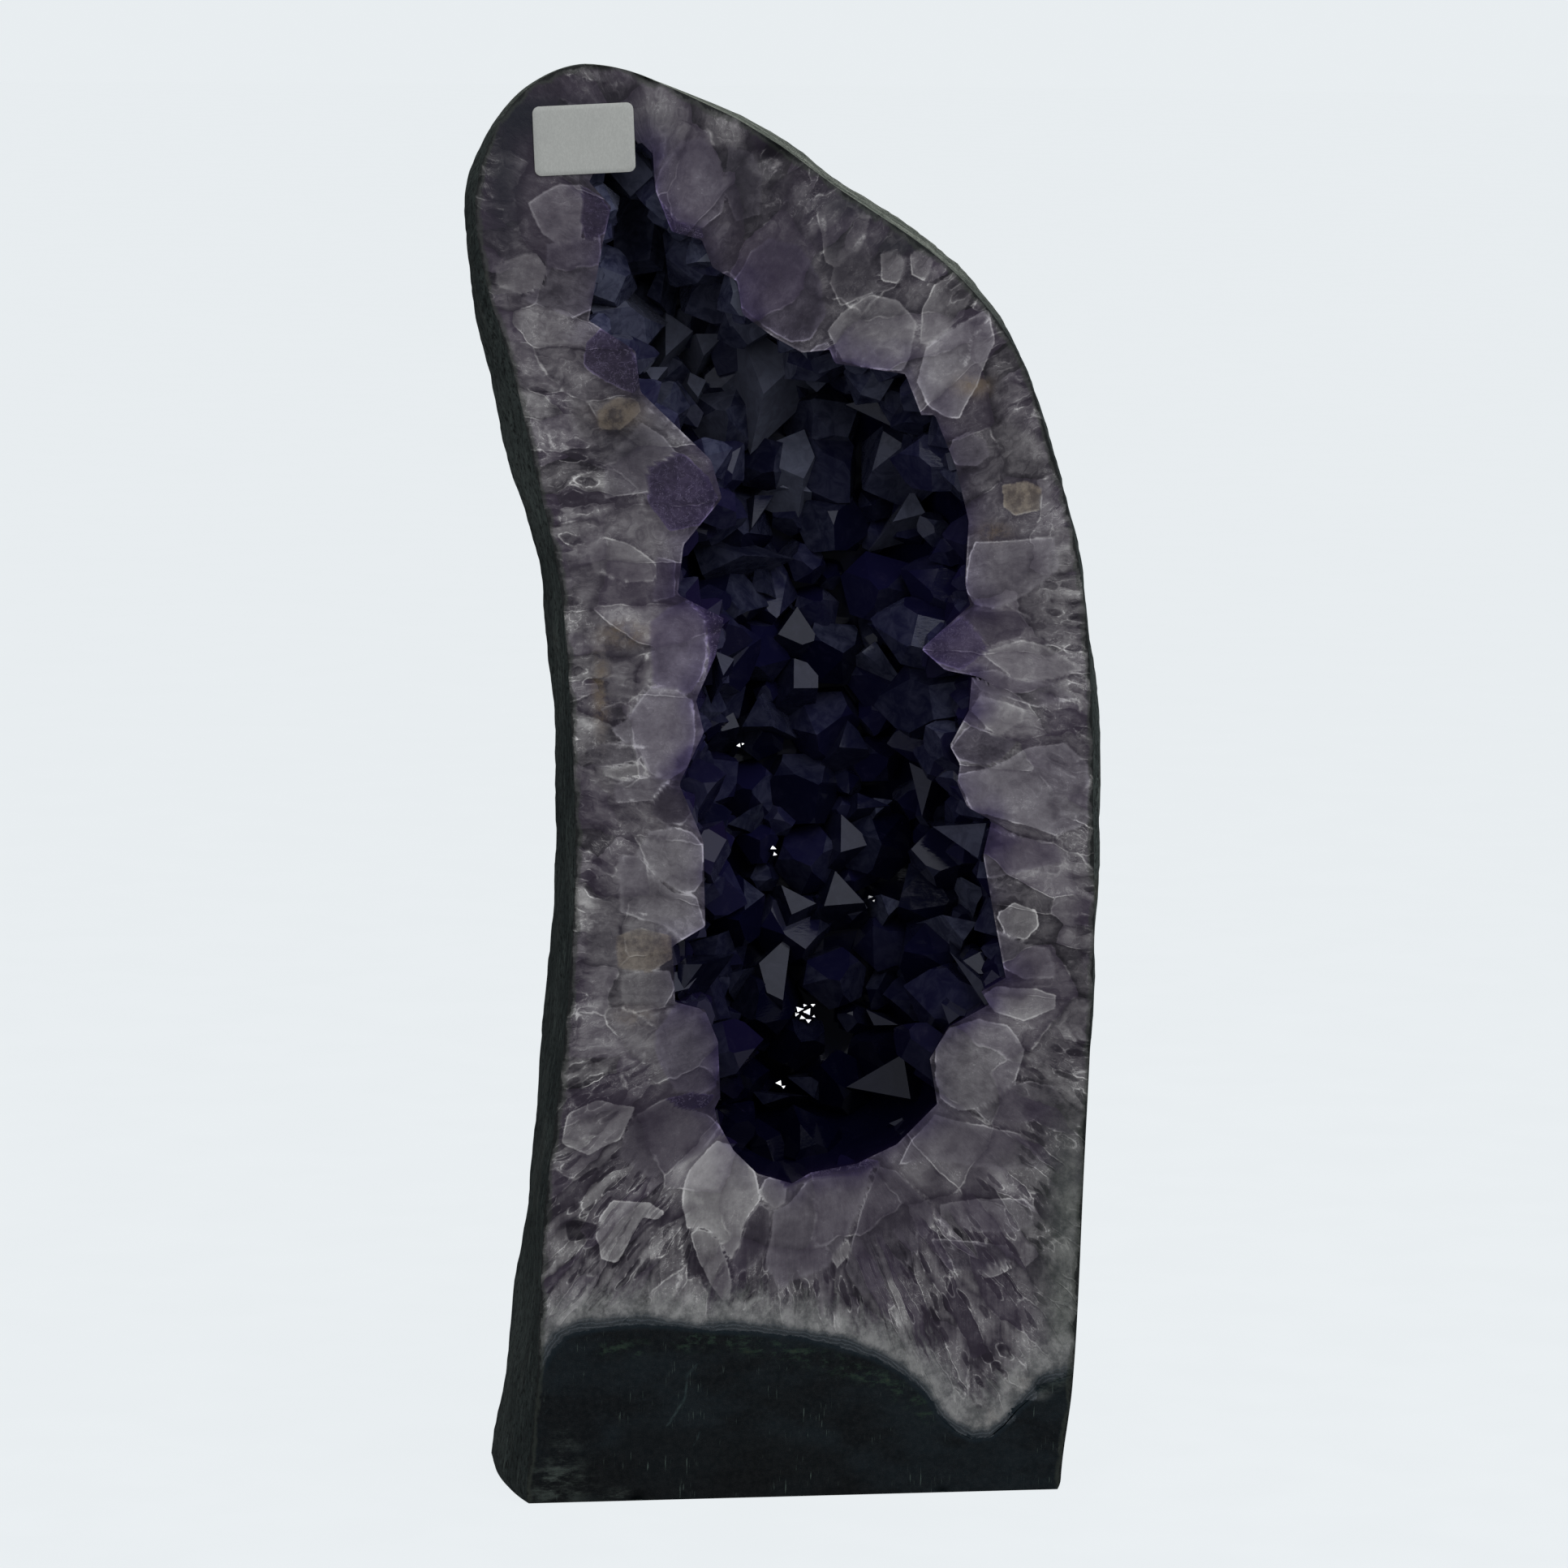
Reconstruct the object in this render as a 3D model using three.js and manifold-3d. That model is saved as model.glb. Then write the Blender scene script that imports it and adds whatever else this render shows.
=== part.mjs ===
// Amethyst druse: half of a tall geode, sawn flat at the front and at the foot, with a hollow
// that is lined with crystals. Millimetres, +Z up. While the parts are made, the sawn face lies
// in the plane y = 0, looks towards -Y, and the foot stands on z = 0. The last lines centre the
// stone over the origin.

import * as THREE from 'three';
import { MeshSurfaceSampler } from 'three/addons/math/MeshSurfaceSampler.js';
import { mergeVertices } from 'three/addons/utils/BufferGeometryUtils.js';
import Module from 'manifold-3d';

const wasm = await Module();
wasm.setup();

// The stone's outer form. Each list holds pairs of a height above the foot and the value there.
const HEIGHT = 531;
const LEFT_EDGE = [
  [0, -93], [40, -90.5], [107, -88], [183, -80], [244, -77], [295, -79], [343, -83], [384, -92],
  [423, -101], [452, -110], [484, -114], [505, -108], [522, -96], [HEIGHT, -79],
];
const RIGHT_EDGE = [
  [0, 105], [40, 110], [120, 113.5], [210, 116], [256, 115], [302, 113], [350, 107], [392, 96],
  [432, 79], [461, 51.5], [487, 12.5], [510, -23], [525, -52], [HEIGHT, -70],
];
const DEPTH = [
  [0, 98], [60, 101], [150, 98], [260, 92], [360, 85], [440, 73], [490, 58], [518, 39],
  [HEIGHT, 19],
];
// How square each half of a level section is: 2 is an ellipse, large numbers are nearly a box.
const LEFT_SQUARENESS = [[0, 10], [110, 7], [250, 4.2], [400, 3.3], [HEIGHT, 2.6]];
const RIGHT_SQUARENESS = [[0, 5], [110, 3.6], [250, 3], [360, 3.2], [450, 4.2], [HEIGHT, 3]];
// How far the sides swell out behind the sawn face.
const LEFT_SWELL = [
  [0, 5.5], [20, 7], [44, 6], [62, 2.5], [100, 1.2], [190, 1], [290, 4.5], [410, 5.5], [465, 4.5],
  [HEIGHT, 0],
];
const RIGHT_SWELL = [
  [0, 2], [140, 2], [215, 5.5], [270, 11], [325, 6.5], [370, 3], [430, 6.5], [480, 9], [510, 6],
  [HEIGHT, 0],
];
const BODY_LEVELS = 30;
const LEVEL_CROWDING = 1.5;
const BACK_STEPS = 26;

// Natural lumps of the rind: a few waves, each with its height, its wavelength along z and
// around the stone, and its phase.
const LUMPS = [
  { height: 1.6, alongZ: 163, around: 3, phase: 0.4 },
  { height: 1.2, alongZ: 83, around: 5, phase: 2.1 },
  { height: 0.9, alongZ: 57, around: 8, phase: 4.0 },
];

// The mouth of the hollow in the sawn face, as [x, z]: a ragged line of sawn crystal ends.
const MOUTH = [
  [-54, 503], [-50, 499], [-49, 486], [-43, 471], [-32, 468], [-28, 458], [-19, 453], [-17, 441],
  [-6, 433], [5, 427], [15, 428], [17, 423], [43, 419], [49, 404], [54, 404], [62, 385],
  [67, 365], [66, 342], [68, 334], [50, 318], [59, 310], [69, 308], [68, 295], [61, 282],
  [65, 275], [64, 268], [68, 259], [77, 254], [74, 241], [79, 215], [83, 195], [74, 190],
  [77, 185], [62, 177], [55, 165], [58, 148], [43, 133], [28, 126], [11, 123], [4, 119],
  [-9, 123], [-18, 132], [-24, 143], [-34, 148], [-23, 152], [-24, 173], [-29, 185], [-40, 188],
  [-41, 209], [-29, 216], [-30, 248], [-39, 269], [-30, 288], [-33, 300], [-26, 316], [-23, 330],
  [-40, 339], [-38, 357], [-24, 374], [-28, 388], [-54, 413], [-56, 428], [-73, 439], [-68, 467],
  [-65, 480], [-73, 489], [-68, 500],
];
// The middle line that the hollow follows, as pairs of a height and an x.
const HOLLOW_SPINE = [[119, 6], [185, 24], [250, 22], [310, 20], [370, 16], [430, -28], [503, -60]];
const SPINE_LOW = 150;
const SPINE_HIGH = 488;
// The hollow narrows towards its back. Each step: distance behind the face, share of the
// mouth's width, share of its height, and how far the ragged outline is smoothed (0 to 1).
const HOLLOW_STEPS = [
  { back: 0, width: 1, height: 1, smooth: 0 },
  { back: 14, width: 1.04, height: 1, smooth: 0.4 },
  { back: 33, width: 1.02, height: 0.99, smooth: 0.8 },
  { back: 52, width: 0.88, height: 0.95, smooth: 1 },
  { back: 66, width: 0.58, height: 0.86, smooth: 1 },
];
const SMOOTHING_PASSES = 4;

// The crystals' crust. It starts just behind the sawn face and keeps clear of the wall.
const CLEARANCE = 0.5;
const CRUST_FRONT = 0.6;
const LINING_FRONT = 6;
const LINING = 7.5;
const MAX_LINING_SHARE = 0.45;
const CRYSTAL_SIDES = 6;
const CRYSTAL_ROOT = { depth: 2, width: 0.7 };
// Large crystals are set first, and the smaller ones fill the wall between them.
const CRYSTAL_SIZES = [
  { count: 80, spacing: 25, minRadius: 14, maxRadius: 17 },
  { count: 34, spacing: 16, minRadius: 9.5, maxRadius: 12 },
];
const CRYSTAL_LEAN = 0.45;
const RIM_DISTANCE = 3;

// Broken places: bites out of the face's edge, and two small pits in it.
const CHIPS = [
  { x: -5.6, z: 502, size: 9 }, { x: -69, z: 531, size: 6 }, { x: -52, z: 526.5, size: 5 },
  { x: -53, z: 0, size: 4 }, { x: 61.5, z: 0, size: 3 }, { x: 99, z: 38, size: 5 },
  { x: -75.7, z: 104, size: 5 }, { x: -77, z: 287, size: 3.5 },
];

// The paper sticker near the top of the face.
const LABEL = { x: -75, z: 504.3, width: 36.5, height: 25, corner: 2.5, thickness: 0.4, tilt: 2.7 };
const LABEL_GAP = 0.3;

let seed = 7;
function random(low = 0, high = 1) {
  seed += 1;
  return low + (high - low) * THREE.MathUtils.seededRandom(seed * 7919);
}

// A smooth function through pairs of a place and a value.
function profile(pairs) {
  const spline = new THREE.CubicInterpolant(pairs.map((p) => p[0]), pairs.map((p) => p[1]), 1);
  return (place) => spline.evaluate(place)[0];
}

const leftEdge = profile(LEFT_EDGE);
const rightEdge = profile(RIGHT_EDGE);
const depthAt = profile(DEPTH);
const leftSquareness = profile(LEFT_SQUARENESS);
const rightSquareness = profile(RIGHT_SQUARENESS);
const leftSwell = profile(LEFT_SWELL);
const rightSwell = profile(RIGHT_SWELL);
const spineAt = profile(HOLLOW_SPINE);

// A closed solid through rings of equally many points, each ring flat across the axis given.
function loft(rings, axis) {
  const size = rings[0].length;
  const flat = (p) => new THREE.Vector2(p.x, axis === 'z' ? p.y : p.z);
  const index = [];
  for (let r = 0; r + 1 < rings.length; r += 1) {
    for (let i = 0; i < size; i += 1) {
      const a = r * size + i;
      const b = r * size + (i + 1) % size;
      index.push(a, b, b + size, a, b + size, a + size);
    }
  }
  const end = (rings.length - 1) * size;
  const forward = THREE.ShapeUtils.isClockWise(rings[0].map(flat));
  const lid = (ring) => THREE.ShapeUtils.triangulateShape(ring.map(flat), []);
  for (const [a, b, c] of lid(rings[0])) {
    index.push(...(forward ? [a, b, c] : [c, b, a]));
  }
  for (const [a, b, c] of lid(rings.at(-1))) {
    index.push(...(forward ? [end + c, end + b, end + a] : [end + a, end + b, end + c]));
  }
  return solid(rings.flat().flatMap((p) => [p.x, p.y, p.z]), index);
}

// Points and triangles as a solid, turned the right way out.
function solid(points, index) {
  const triVerts = new Uint32Array(index);
  const made = new wasm.Manifold(new wasm.Mesh({
    numProp: 3, vertProperties: new Float32Array(points), triVerts,
  }));
  if (made.volume() > 0) return made;
  return new wasm.Manifold(new wasm.Mesh({
    numProp: 3, vertProperties: new Float32Array(points), triVerts: triVerts.reverse(),
  }));
}

function geometryOf(made) {
  const { vertProperties, triVerts } = made.getMesh();
  const geometry = new THREE.BufferGeometry();
  geometry.setAttribute('position', new THREE.BufferAttribute(vertProperties, 3));
  geometry.setIndex(new THREE.BufferAttribute(triVerts, 1));
  geometry.computeVertexNormals();
  return geometry;
}

// One level section: the straight sawn edge in front and the rounded rind behind it.
function bodySection(z) {
  const left = leftEdge(z);
  const right = rightEdge(z);
  const middle = (left + right) / 2;
  const halfWidth = (right - left) / 2;
  const depth = depthAt(z);
  const points = [];
  for (let i = 0; i <= BACK_STEPS; i += 1) {
    const angle = Math.PI * i / BACK_STEPS;
    const side = Math.cos(angle);
    const behind = Math.max(0, Math.sin(angle));
    const power = THREE.MathUtils.lerp(rightSquareness(z), leftSquareness(z), (1 - side) / 2);
    const reach = (Math.abs(side) ** power + behind ** power) ** (-1 / power);
    const back = Math.min(1, behind * reach);
    const swell = side > 0 ? rightSwell(z) : leftSwell(z);
    const lump = lumpAt(z, angle) * Math.min(1, 4 * back);
    const x = middle + (halfWidth + lump) * side * reach + 4 * back * (1 - back) * swell * side;
    points.push(new THREE.Vector3(x, (depth + lump) * back, z));
  }
  return points;
}

function lumpAt(z, angle) {
  let total = 0;
  for (const { height, alongZ, around, phase } of LUMPS) {
    total += height * Math.sin(2 * Math.PI * z / alongZ + phase) * Math.sin(around * angle + phase);
  }
  return total;
}

// The ragged mouth and its smoothed copy, and the hollow's outline between the two.
function smoothed(outline) {
  let points = outline;
  for (let pass = 0; pass < SMOOTHING_PASSES; pass += 1) {
    points = points.map(([x, z], i) => {
      const [xa, za] = points.at(i - 1);
      const [xb, zb] = points[(i + 1) % points.length];
      return [(xa + 2 * x + xb) / 4, (za + 2 * z + zb) / 4];
    });
  }
  return points;
}

const mouthSmooth = smoothed(MOUTH);
const mouthMiddle = (Math.min(...MOUTH.map((p) => p[1])) + Math.max(...MOUTH.map((p) => p[1]))) / 2;

// The hollow's outline at one step, pulled in by inset.
function hollowRing(step, inset) {
  const drawn = MOUTH.map(([x, z], i) => [
    THREE.MathUtils.lerp(x, mouthSmooth[i][0], step.smooth),
    THREE.MathUtils.lerp(z, mouthSmooth[i][1], step.smooth),
  ]);
  return drawn.map(([x, z], i) => {
    const [xa, za] = drawn.at(i - 1);
    const [xb, zb] = drawn[(i + 1) % drawn.length];
    const along = new THREE.Vector2(xb - xa, zb - za).normalize();
    const insetX = x + along.y * inset;
    const insetZ = z - along.x * inset;
    const height = mouthMiddle + (insetZ - mouthMiddle) * step.height;
    const width = (insetX - spineAt(insetZ)) * step.width;
    return new THREE.Vector3(spineAt(height) + width, step.back, height);
  });
}

function makeHollow() {
  const lead = { ...HOLLOW_STEPS[0], back: -1 };
  return loft([lead, ...HOLLOW_STEPS].map((step) => hollowRing(step, 0)), 'y');
}

// The crust's inner wall, on which the crystals stand: the smoothed hollow drawn towards its
// middle line, with fewer points.
function innerWall() {
  const steps = HOLLOW_STEPS.map((step) => ({ ...step }));
  steps[0].back = -1;
  steps.at(-1).back -= LINING;
  return loft(steps.map((step) => {
    const ring = hollowRing({ ...step, smooth: 1 }, 0).filter((_, i) => i % 2 === 0);
    return ring.map((point) => {
      const height = THREE.MathUtils.clamp(point.z, SPINE_LOW, SPINE_HIGH);
      const middle = new THREE.Vector3(spineAt(height), point.y, height);
      const share = Math.min(MAX_LINING_SHARE, LINING / point.distanceTo(middle));
      return point.lerp(middle, share);
    });
  }), 'y');
}

// The space that the crust may fill: the hollow, a little smaller all round.
function crustSpace() {
  const rings = HOLLOW_STEPS.map((step, i) => {
    const last = i === HOLLOW_STEPS.length - 1;
    const back = i === 0 ? CRUST_FRONT : step.back - (last ? CLEARANCE : 0);
    return hollowRing({ ...step, back }, CLEARANCE);
  });
  return loft(rings, 'y');
}

// One crystal: a six-sided point on a root that narrows into the wall. Every other corner of its
// shoulder is lower, so that the point's faces differ as those of natural quartz do.
function makeCrystal({ radius, shoulder, tip, uneven, place, direction, spin }) {
  const points = [];
  const rings = [
    { width: CRYSTAL_ROOT.width * radius, height: -CRYSTAL_ROOT.depth, step: 0 },
    { width: radius, height: shoulder, step: uneven * radius },
  ];
  for (const { width, height, step } of rings) {
    for (let i = 0; i < CRYSTAL_SIDES; i += 1) {
      const angle = 2 * Math.PI * i / CRYSTAL_SIDES;
      const z = height + (i % 2 ? step : -step);
      points.push(new THREE.Vector3(width * Math.cos(angle), width * Math.sin(angle), z));
    }
  }
  points.push(new THREE.Vector3(0, 0, shoulder + tip));
  const top = points.length - 1;
  const index = [];
  for (let i = 0; i < CRYSTAL_SIDES; i += 1) {
    const j = (i + 1) % CRYSTAL_SIDES;
    index.push(i, j, j + CRYSTAL_SIDES, i, j + CRYSTAL_SIDES, i + CRYSTAL_SIDES);
    index.push(i + CRYSTAL_SIDES, j + CRYSTAL_SIDES, top);
    if (i > 0 && j > 0) index.push(0, j, i);
  }
  const turn = new THREE.Quaternion().setFromUnitVectors(new THREE.Vector3(0, 0, 1), direction);
  turn.multiply(new THREE.Quaternion().setFromAxisAngle(new THREE.Vector3(0, 0, 1), spin));
  const set = new THREE.Matrix4().compose(place, turn, new THREE.Vector3(1, 1, 1));
  return solid(points.flatMap((p) => p.applyMatrix4(set).toArray()), index);
}

// Crystals' places scattered over the hollow's wall, each with its radius and the way inwards.
function scatterPlaces() {
  const wall = new THREE.Mesh(geometryOf(innerWall()));
  const sampler = new MeshSurfaceSampler(wall).setRandomGenerator(() => random()).build();
  const places = [];
  for (const { count, spacing, minRadius, maxRadius } of CRYSTAL_SIZES) {
    let left = count;
    for (let tries = 0; tries < 60 * count && left > 0; tries += 1) {
      const place = new THREE.Vector3();
      const outward = new THREE.Vector3();
      sampler.sample(place, outward);
      const free = places.every((other) => other.place.distanceTo(place) > spacing);
      if (free && place.y > RIM_DISTANCE) {
        places.push({ place, inward: outward.negate(), radius: random(minRadius, maxRadius) });
        left -= 1;
      }
    }
  }
  return places;
}

function makeCrust() {
  const space = crustSpace();
  const lining = space.trimByPlane([0, 1, 0], LINING_FRONT).subtract(innerWall());
  const crystals = scatterPlaces().map(({ place, inward, radius }) => {
    const lean = new THREE.Vector3(random(-1, 1), random(0, 1), random(-1, 1));
    return makeCrystal({
      radius,
      shoulder: radius * random(-0.05, 0.12),
      tip: radius * random(0.95, 1.25),
      uneven: random(0.05, 0.22),
      place,
      direction: inward.addScaledVector(lean, CRYSTAL_LEAN).normalize(),
      spin: random(0, Math.PI),
    });
  });
  const grown = wasm.Manifold.union([lining, ...crystals]).intersect(space);
  return grown.decompose().reduce((a, b) => (a.volume() > b.volume() ? a : b));
}

// A bite out of the stone: a rough eight-sided lump, set on the face's edge.
function makeChip({ x, z, size }) {
  const lump = new THREE.OctahedronGeometry(size);
  lump.rotateY(random(0, 1)).rotateX(random(0, 1)).scale(1, 0.6, 0.55).translate(x, -0.2 * size, z);
  lump.deleteAttribute('normal');
  lump.deleteAttribute('uv');
  const merged = mergeVertices(lump, 1e-3);
  return solid(merged.attributes.position.array, merged.index.array);
}

function makeBody() {
  const rings = [];
  for (let i = 0; i <= BODY_LEVELS; i += 1) {
    rings.push(bodySection(HEIGHT * (1 - (1 - i / BODY_LEVELS) ** LEVEL_CROWDING)));
  }
  return CHIPS.map(makeChip).reduce((stone, chip) => stone.subtract(chip), loft(rings, 'z'))
    .subtract(makeHollow());
}

function makeLabel() {
  const { width, height, corner, thickness } = LABEL;
  const x = width / 2 - corner;
  const y = height / 2 - corner;
  const outline = new THREE.Shape();
  outline.absarc(x, y, corner, 0, Math.PI / 2);
  outline.absarc(-x, y, corner, Math.PI / 2, Math.PI);
  outline.absarc(-x, -y, corner, Math.PI, 1.5 * Math.PI);
  outline.absarc(x, -y, corner, 1.5 * Math.PI, 2 * Math.PI);
  return new THREE.ExtrudeGeometry(outline, { depth: thickness, bevelEnabled: false, curveSegments: 4 });
}

function part(name, geometry, material) {
  const mesh = new THREE.Mesh(geometry, new THREE.MeshStandardMaterial(material));
  mesh.name = name;
  return mesh;
}

const body = part('geode_body', geometryOf(makeBody()), { color: 0x5c5862, roughness: 0.55 });
const crust = part('crystal_crust', geometryOf(makeCrust()), { color: 0x1d1433, roughness: 0.15 });
const label = part('paper_label', makeLabel(), { color: 0xb9bcbc, roughness: 0.8 });
label.rotation.set(Math.PI / 2, 0, THREE.MathUtils.degToRad(LABEL.tilt), 'XYZ');
label.position.set(LABEL.x, -LABEL_GAP, LABEL.z);

const group = new THREE.Group();
group.name = 'amethyst_druse';
group.add(body, crust, label);
const middle = new THREE.Box3().setFromObject(body).getCenter(new THREE.Vector3());
group.position.set(-middle.x, -middle.y, 0);
group.updateMatrixWorld(true);

export default group;
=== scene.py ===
"""Looks of a tall amethyst druse: a sawn half-geode whose oblique hollow is full of dark crystals.

Lengths in the tables are millimetres on the sawn face: x to the right, z up from the foot, and
depth behind the face. to_row() turns them into the row frame, in metres. The longer tables
write lines and polygons as x, z, x, z and so on, and points_of() splits them into points.
"""
import itertools
import math

import bpy
import numpy as np
from mathutils import Matrix, Vector, noise
from mathutils.bvhtree import BVHTree


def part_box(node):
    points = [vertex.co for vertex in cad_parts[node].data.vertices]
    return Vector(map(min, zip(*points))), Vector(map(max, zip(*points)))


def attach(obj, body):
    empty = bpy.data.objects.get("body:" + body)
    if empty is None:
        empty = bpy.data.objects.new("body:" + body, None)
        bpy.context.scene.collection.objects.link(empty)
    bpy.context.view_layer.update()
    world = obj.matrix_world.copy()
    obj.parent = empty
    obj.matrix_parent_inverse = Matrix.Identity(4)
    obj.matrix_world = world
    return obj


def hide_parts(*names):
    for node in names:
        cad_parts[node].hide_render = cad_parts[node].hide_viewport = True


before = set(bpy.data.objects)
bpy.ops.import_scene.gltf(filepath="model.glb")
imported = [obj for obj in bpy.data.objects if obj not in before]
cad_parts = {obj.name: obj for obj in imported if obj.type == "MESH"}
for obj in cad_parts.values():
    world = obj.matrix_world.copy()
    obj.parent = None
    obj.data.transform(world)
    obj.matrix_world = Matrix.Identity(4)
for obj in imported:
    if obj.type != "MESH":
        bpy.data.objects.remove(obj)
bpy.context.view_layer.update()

rng = np.random.default_rng(11)


# ---- The stone's form, as in the CAD ---------------------------------------------------------
HEIGHT = 531.0
# Where the outline's top point is.
TOP_X = -74.0
# Lines from the foot to the top: height, and x, depth, squareness or swell there.
LEFT_EDGE = [[0, -94.5], [40, -91], [107, -88], [183, -80], [244, -77], [295, -79], [343, -83],
             [384, -92], [423, -101], [452, -110], [484, -114], [505, -108], [522, -96],
             [HEIGHT, -79]]
RIGHT_EDGE = [[0, 106.5], [40, 110.5], [120, 113.5], [210, 116], [256, 115], [302, 113.5],
              [350, 108], [392, 97], [432, 81], [461, 55], [487, 17], [510, -16.5], [525, -49],
              [HEIGHT, -68]]
DEPTH = [[0, 98], [60, 101], [150, 98], [260, 92], [360, 85], [440, 73], [490, 58], [518, 39],
         [HEIGHT, 19]]
LEFT_SQUARENESS = [[0, 10], [110, 7], [250, 4.2], [400, 3.3], [HEIGHT, 2.6]]
RIGHT_SQUARENESS = [[0, 5], [110, 3.6], [250, 3], [360, 3.2], [450, 4.2], [HEIGHT, 3]]
LEFT_SWELL = [[0, 7.6], [20, 5.8], [44, 4.8], [62, 2.2], [100, 1.2], [190, 2], [240, 4.4],
              [290, 4.4], [350, 5], [395, 9.2], [425, 9], [465, 4.5], [HEIGHT, 0]]
RIGHT_SWELL = [[0, 2], [140, 2], [215, 5.5], [270, 11], [325, 6.5], [370, 4], [430, 5.5],
               [480, 6.5], [510, 5], [HEIGHT, 0]]
LUMPS = [(1.6, 163, 3, 0.4), (1.2, 83, 5, 2.1), (0.9, 57, 8, 4.0)]
MOUTH = [[-54, 503], [-50, 499], [-49, 486], [-43, 471], [-32, 468], [-28, 458], [-19, 453],
         [-17, 441], [-6, 433], [5, 427], [15, 428], [17, 423], [43, 419], [49, 404], [54, 404],
         [62, 385], [67, 365], [66, 342], [68, 334], [50, 318], [59, 310], [69, 308], [68, 295],
         [61, 282], [65, 275], [64, 268], [68, 259], [77, 254], [74, 241], [79, 215], [83, 195],
         [74, 190], [77, 185], [62, 177], [55, 165], [58, 148], [43, 133], [28, 126], [11, 123],
         [4, 119], [-9, 123], [-18, 132], [-24, 143], [-25, 148], [-23, 152], [-24, 173],
         [-29, 185], [-40, 188], [-41, 209], [-29, 216], [-30, 248], [-39, 269], [-30, 288],
         [-33, 300], [-26, 316], [-23, 330], [-40, 339], [-38, 357], [-24, 374], [-28, 388],
         [-54, 413], [-56, 428], [-73, 439], [-68, 467], [-65, 480], [-73, 489], [-68, 500]]
HOLLOW_SPINE = [[119, 6], [185, 24], [250, 22], [310, 20], [370, 16], [430, -28], [503, -60]]
MIDDLE_OF_HOLLOW = [10, 20, 270]
# Distance behind the face, share of the mouth's width, share of its height, smoothing.
HOLLOW_STEPS = np.array([[0, 1, 1, 0], [14, 1.04, 1, 0.4], [33, 1.02, 0.99, 0.8],
                         [52, 0.88, 0.95, 1], [66, 0.58, 0.86, 1]], float)
LABEL = {"x": -75, "z": 504.3, "width": 36.5, "height": 25, "corner": 2.5, "tilt": 2.7}


# ---- What the face shows ---------------------------------------------------------------------
# The dark foot's upper edge, from left to right.
ARCH = [[-91, 46], [-85, 58], [-79, 64], [-67, 66], [-52, 67], [-40, 66], [-25, 64], [-9, 63],
        [6, 61], [21, 57], [36, 52], [46, 46], [55, 38], [61, 28], [67, 23], [73, 20], [80, 21],
        [85, 25], [90, 31], [97, 37], [101, 41], [110, 44]]
# The line that parts the two sheets of the face's mesh, a little simpler than the arch.
PARTING = [[-90, 60], [-80, 64], *ARCH[3:]]
# Quartz fibres: where they start at the rind or the foot, and where they end at the mouth.
FIBRES = [
    (-62, 529, -54, 503), (-20, 509, -43, 471), (28, 477, -6, 433), (60, 454, 17, 423),
    (84, 424, 52, 404), (100, 380, 67, 365), (110, 332, 68, 334), (114, 290, 69, 302),
    (116, 235, 76, 252), (116, 200, 83, 195), (113, 150, 60, 172), (112, 100, 58, 148),
    (110, 60, 43, 133), (96, 36, 33, 129), (61, 28, 24, 125), (36, 52, 14, 123), (-9, 63, 2, 119),
    (-40, 66, -14, 128), (-79, 64, -22, 140), (-89, 78, -32, 148), (-86, 120, -24, 160),
    (-83, 155, -25, 178), (-80, 185, -40, 190), (-77, 244, -29, 230), (-79, 295, -30, 290),
    (-83, 343, -40, 345), (-92, 384, -28, 388), (-101, 423, -55, 420), (-110, 452, -72, 444),
    (-114, 484, -66, 474), (-106, 508, -73, 489), (-91, 525, -68, 500),
]
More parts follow.
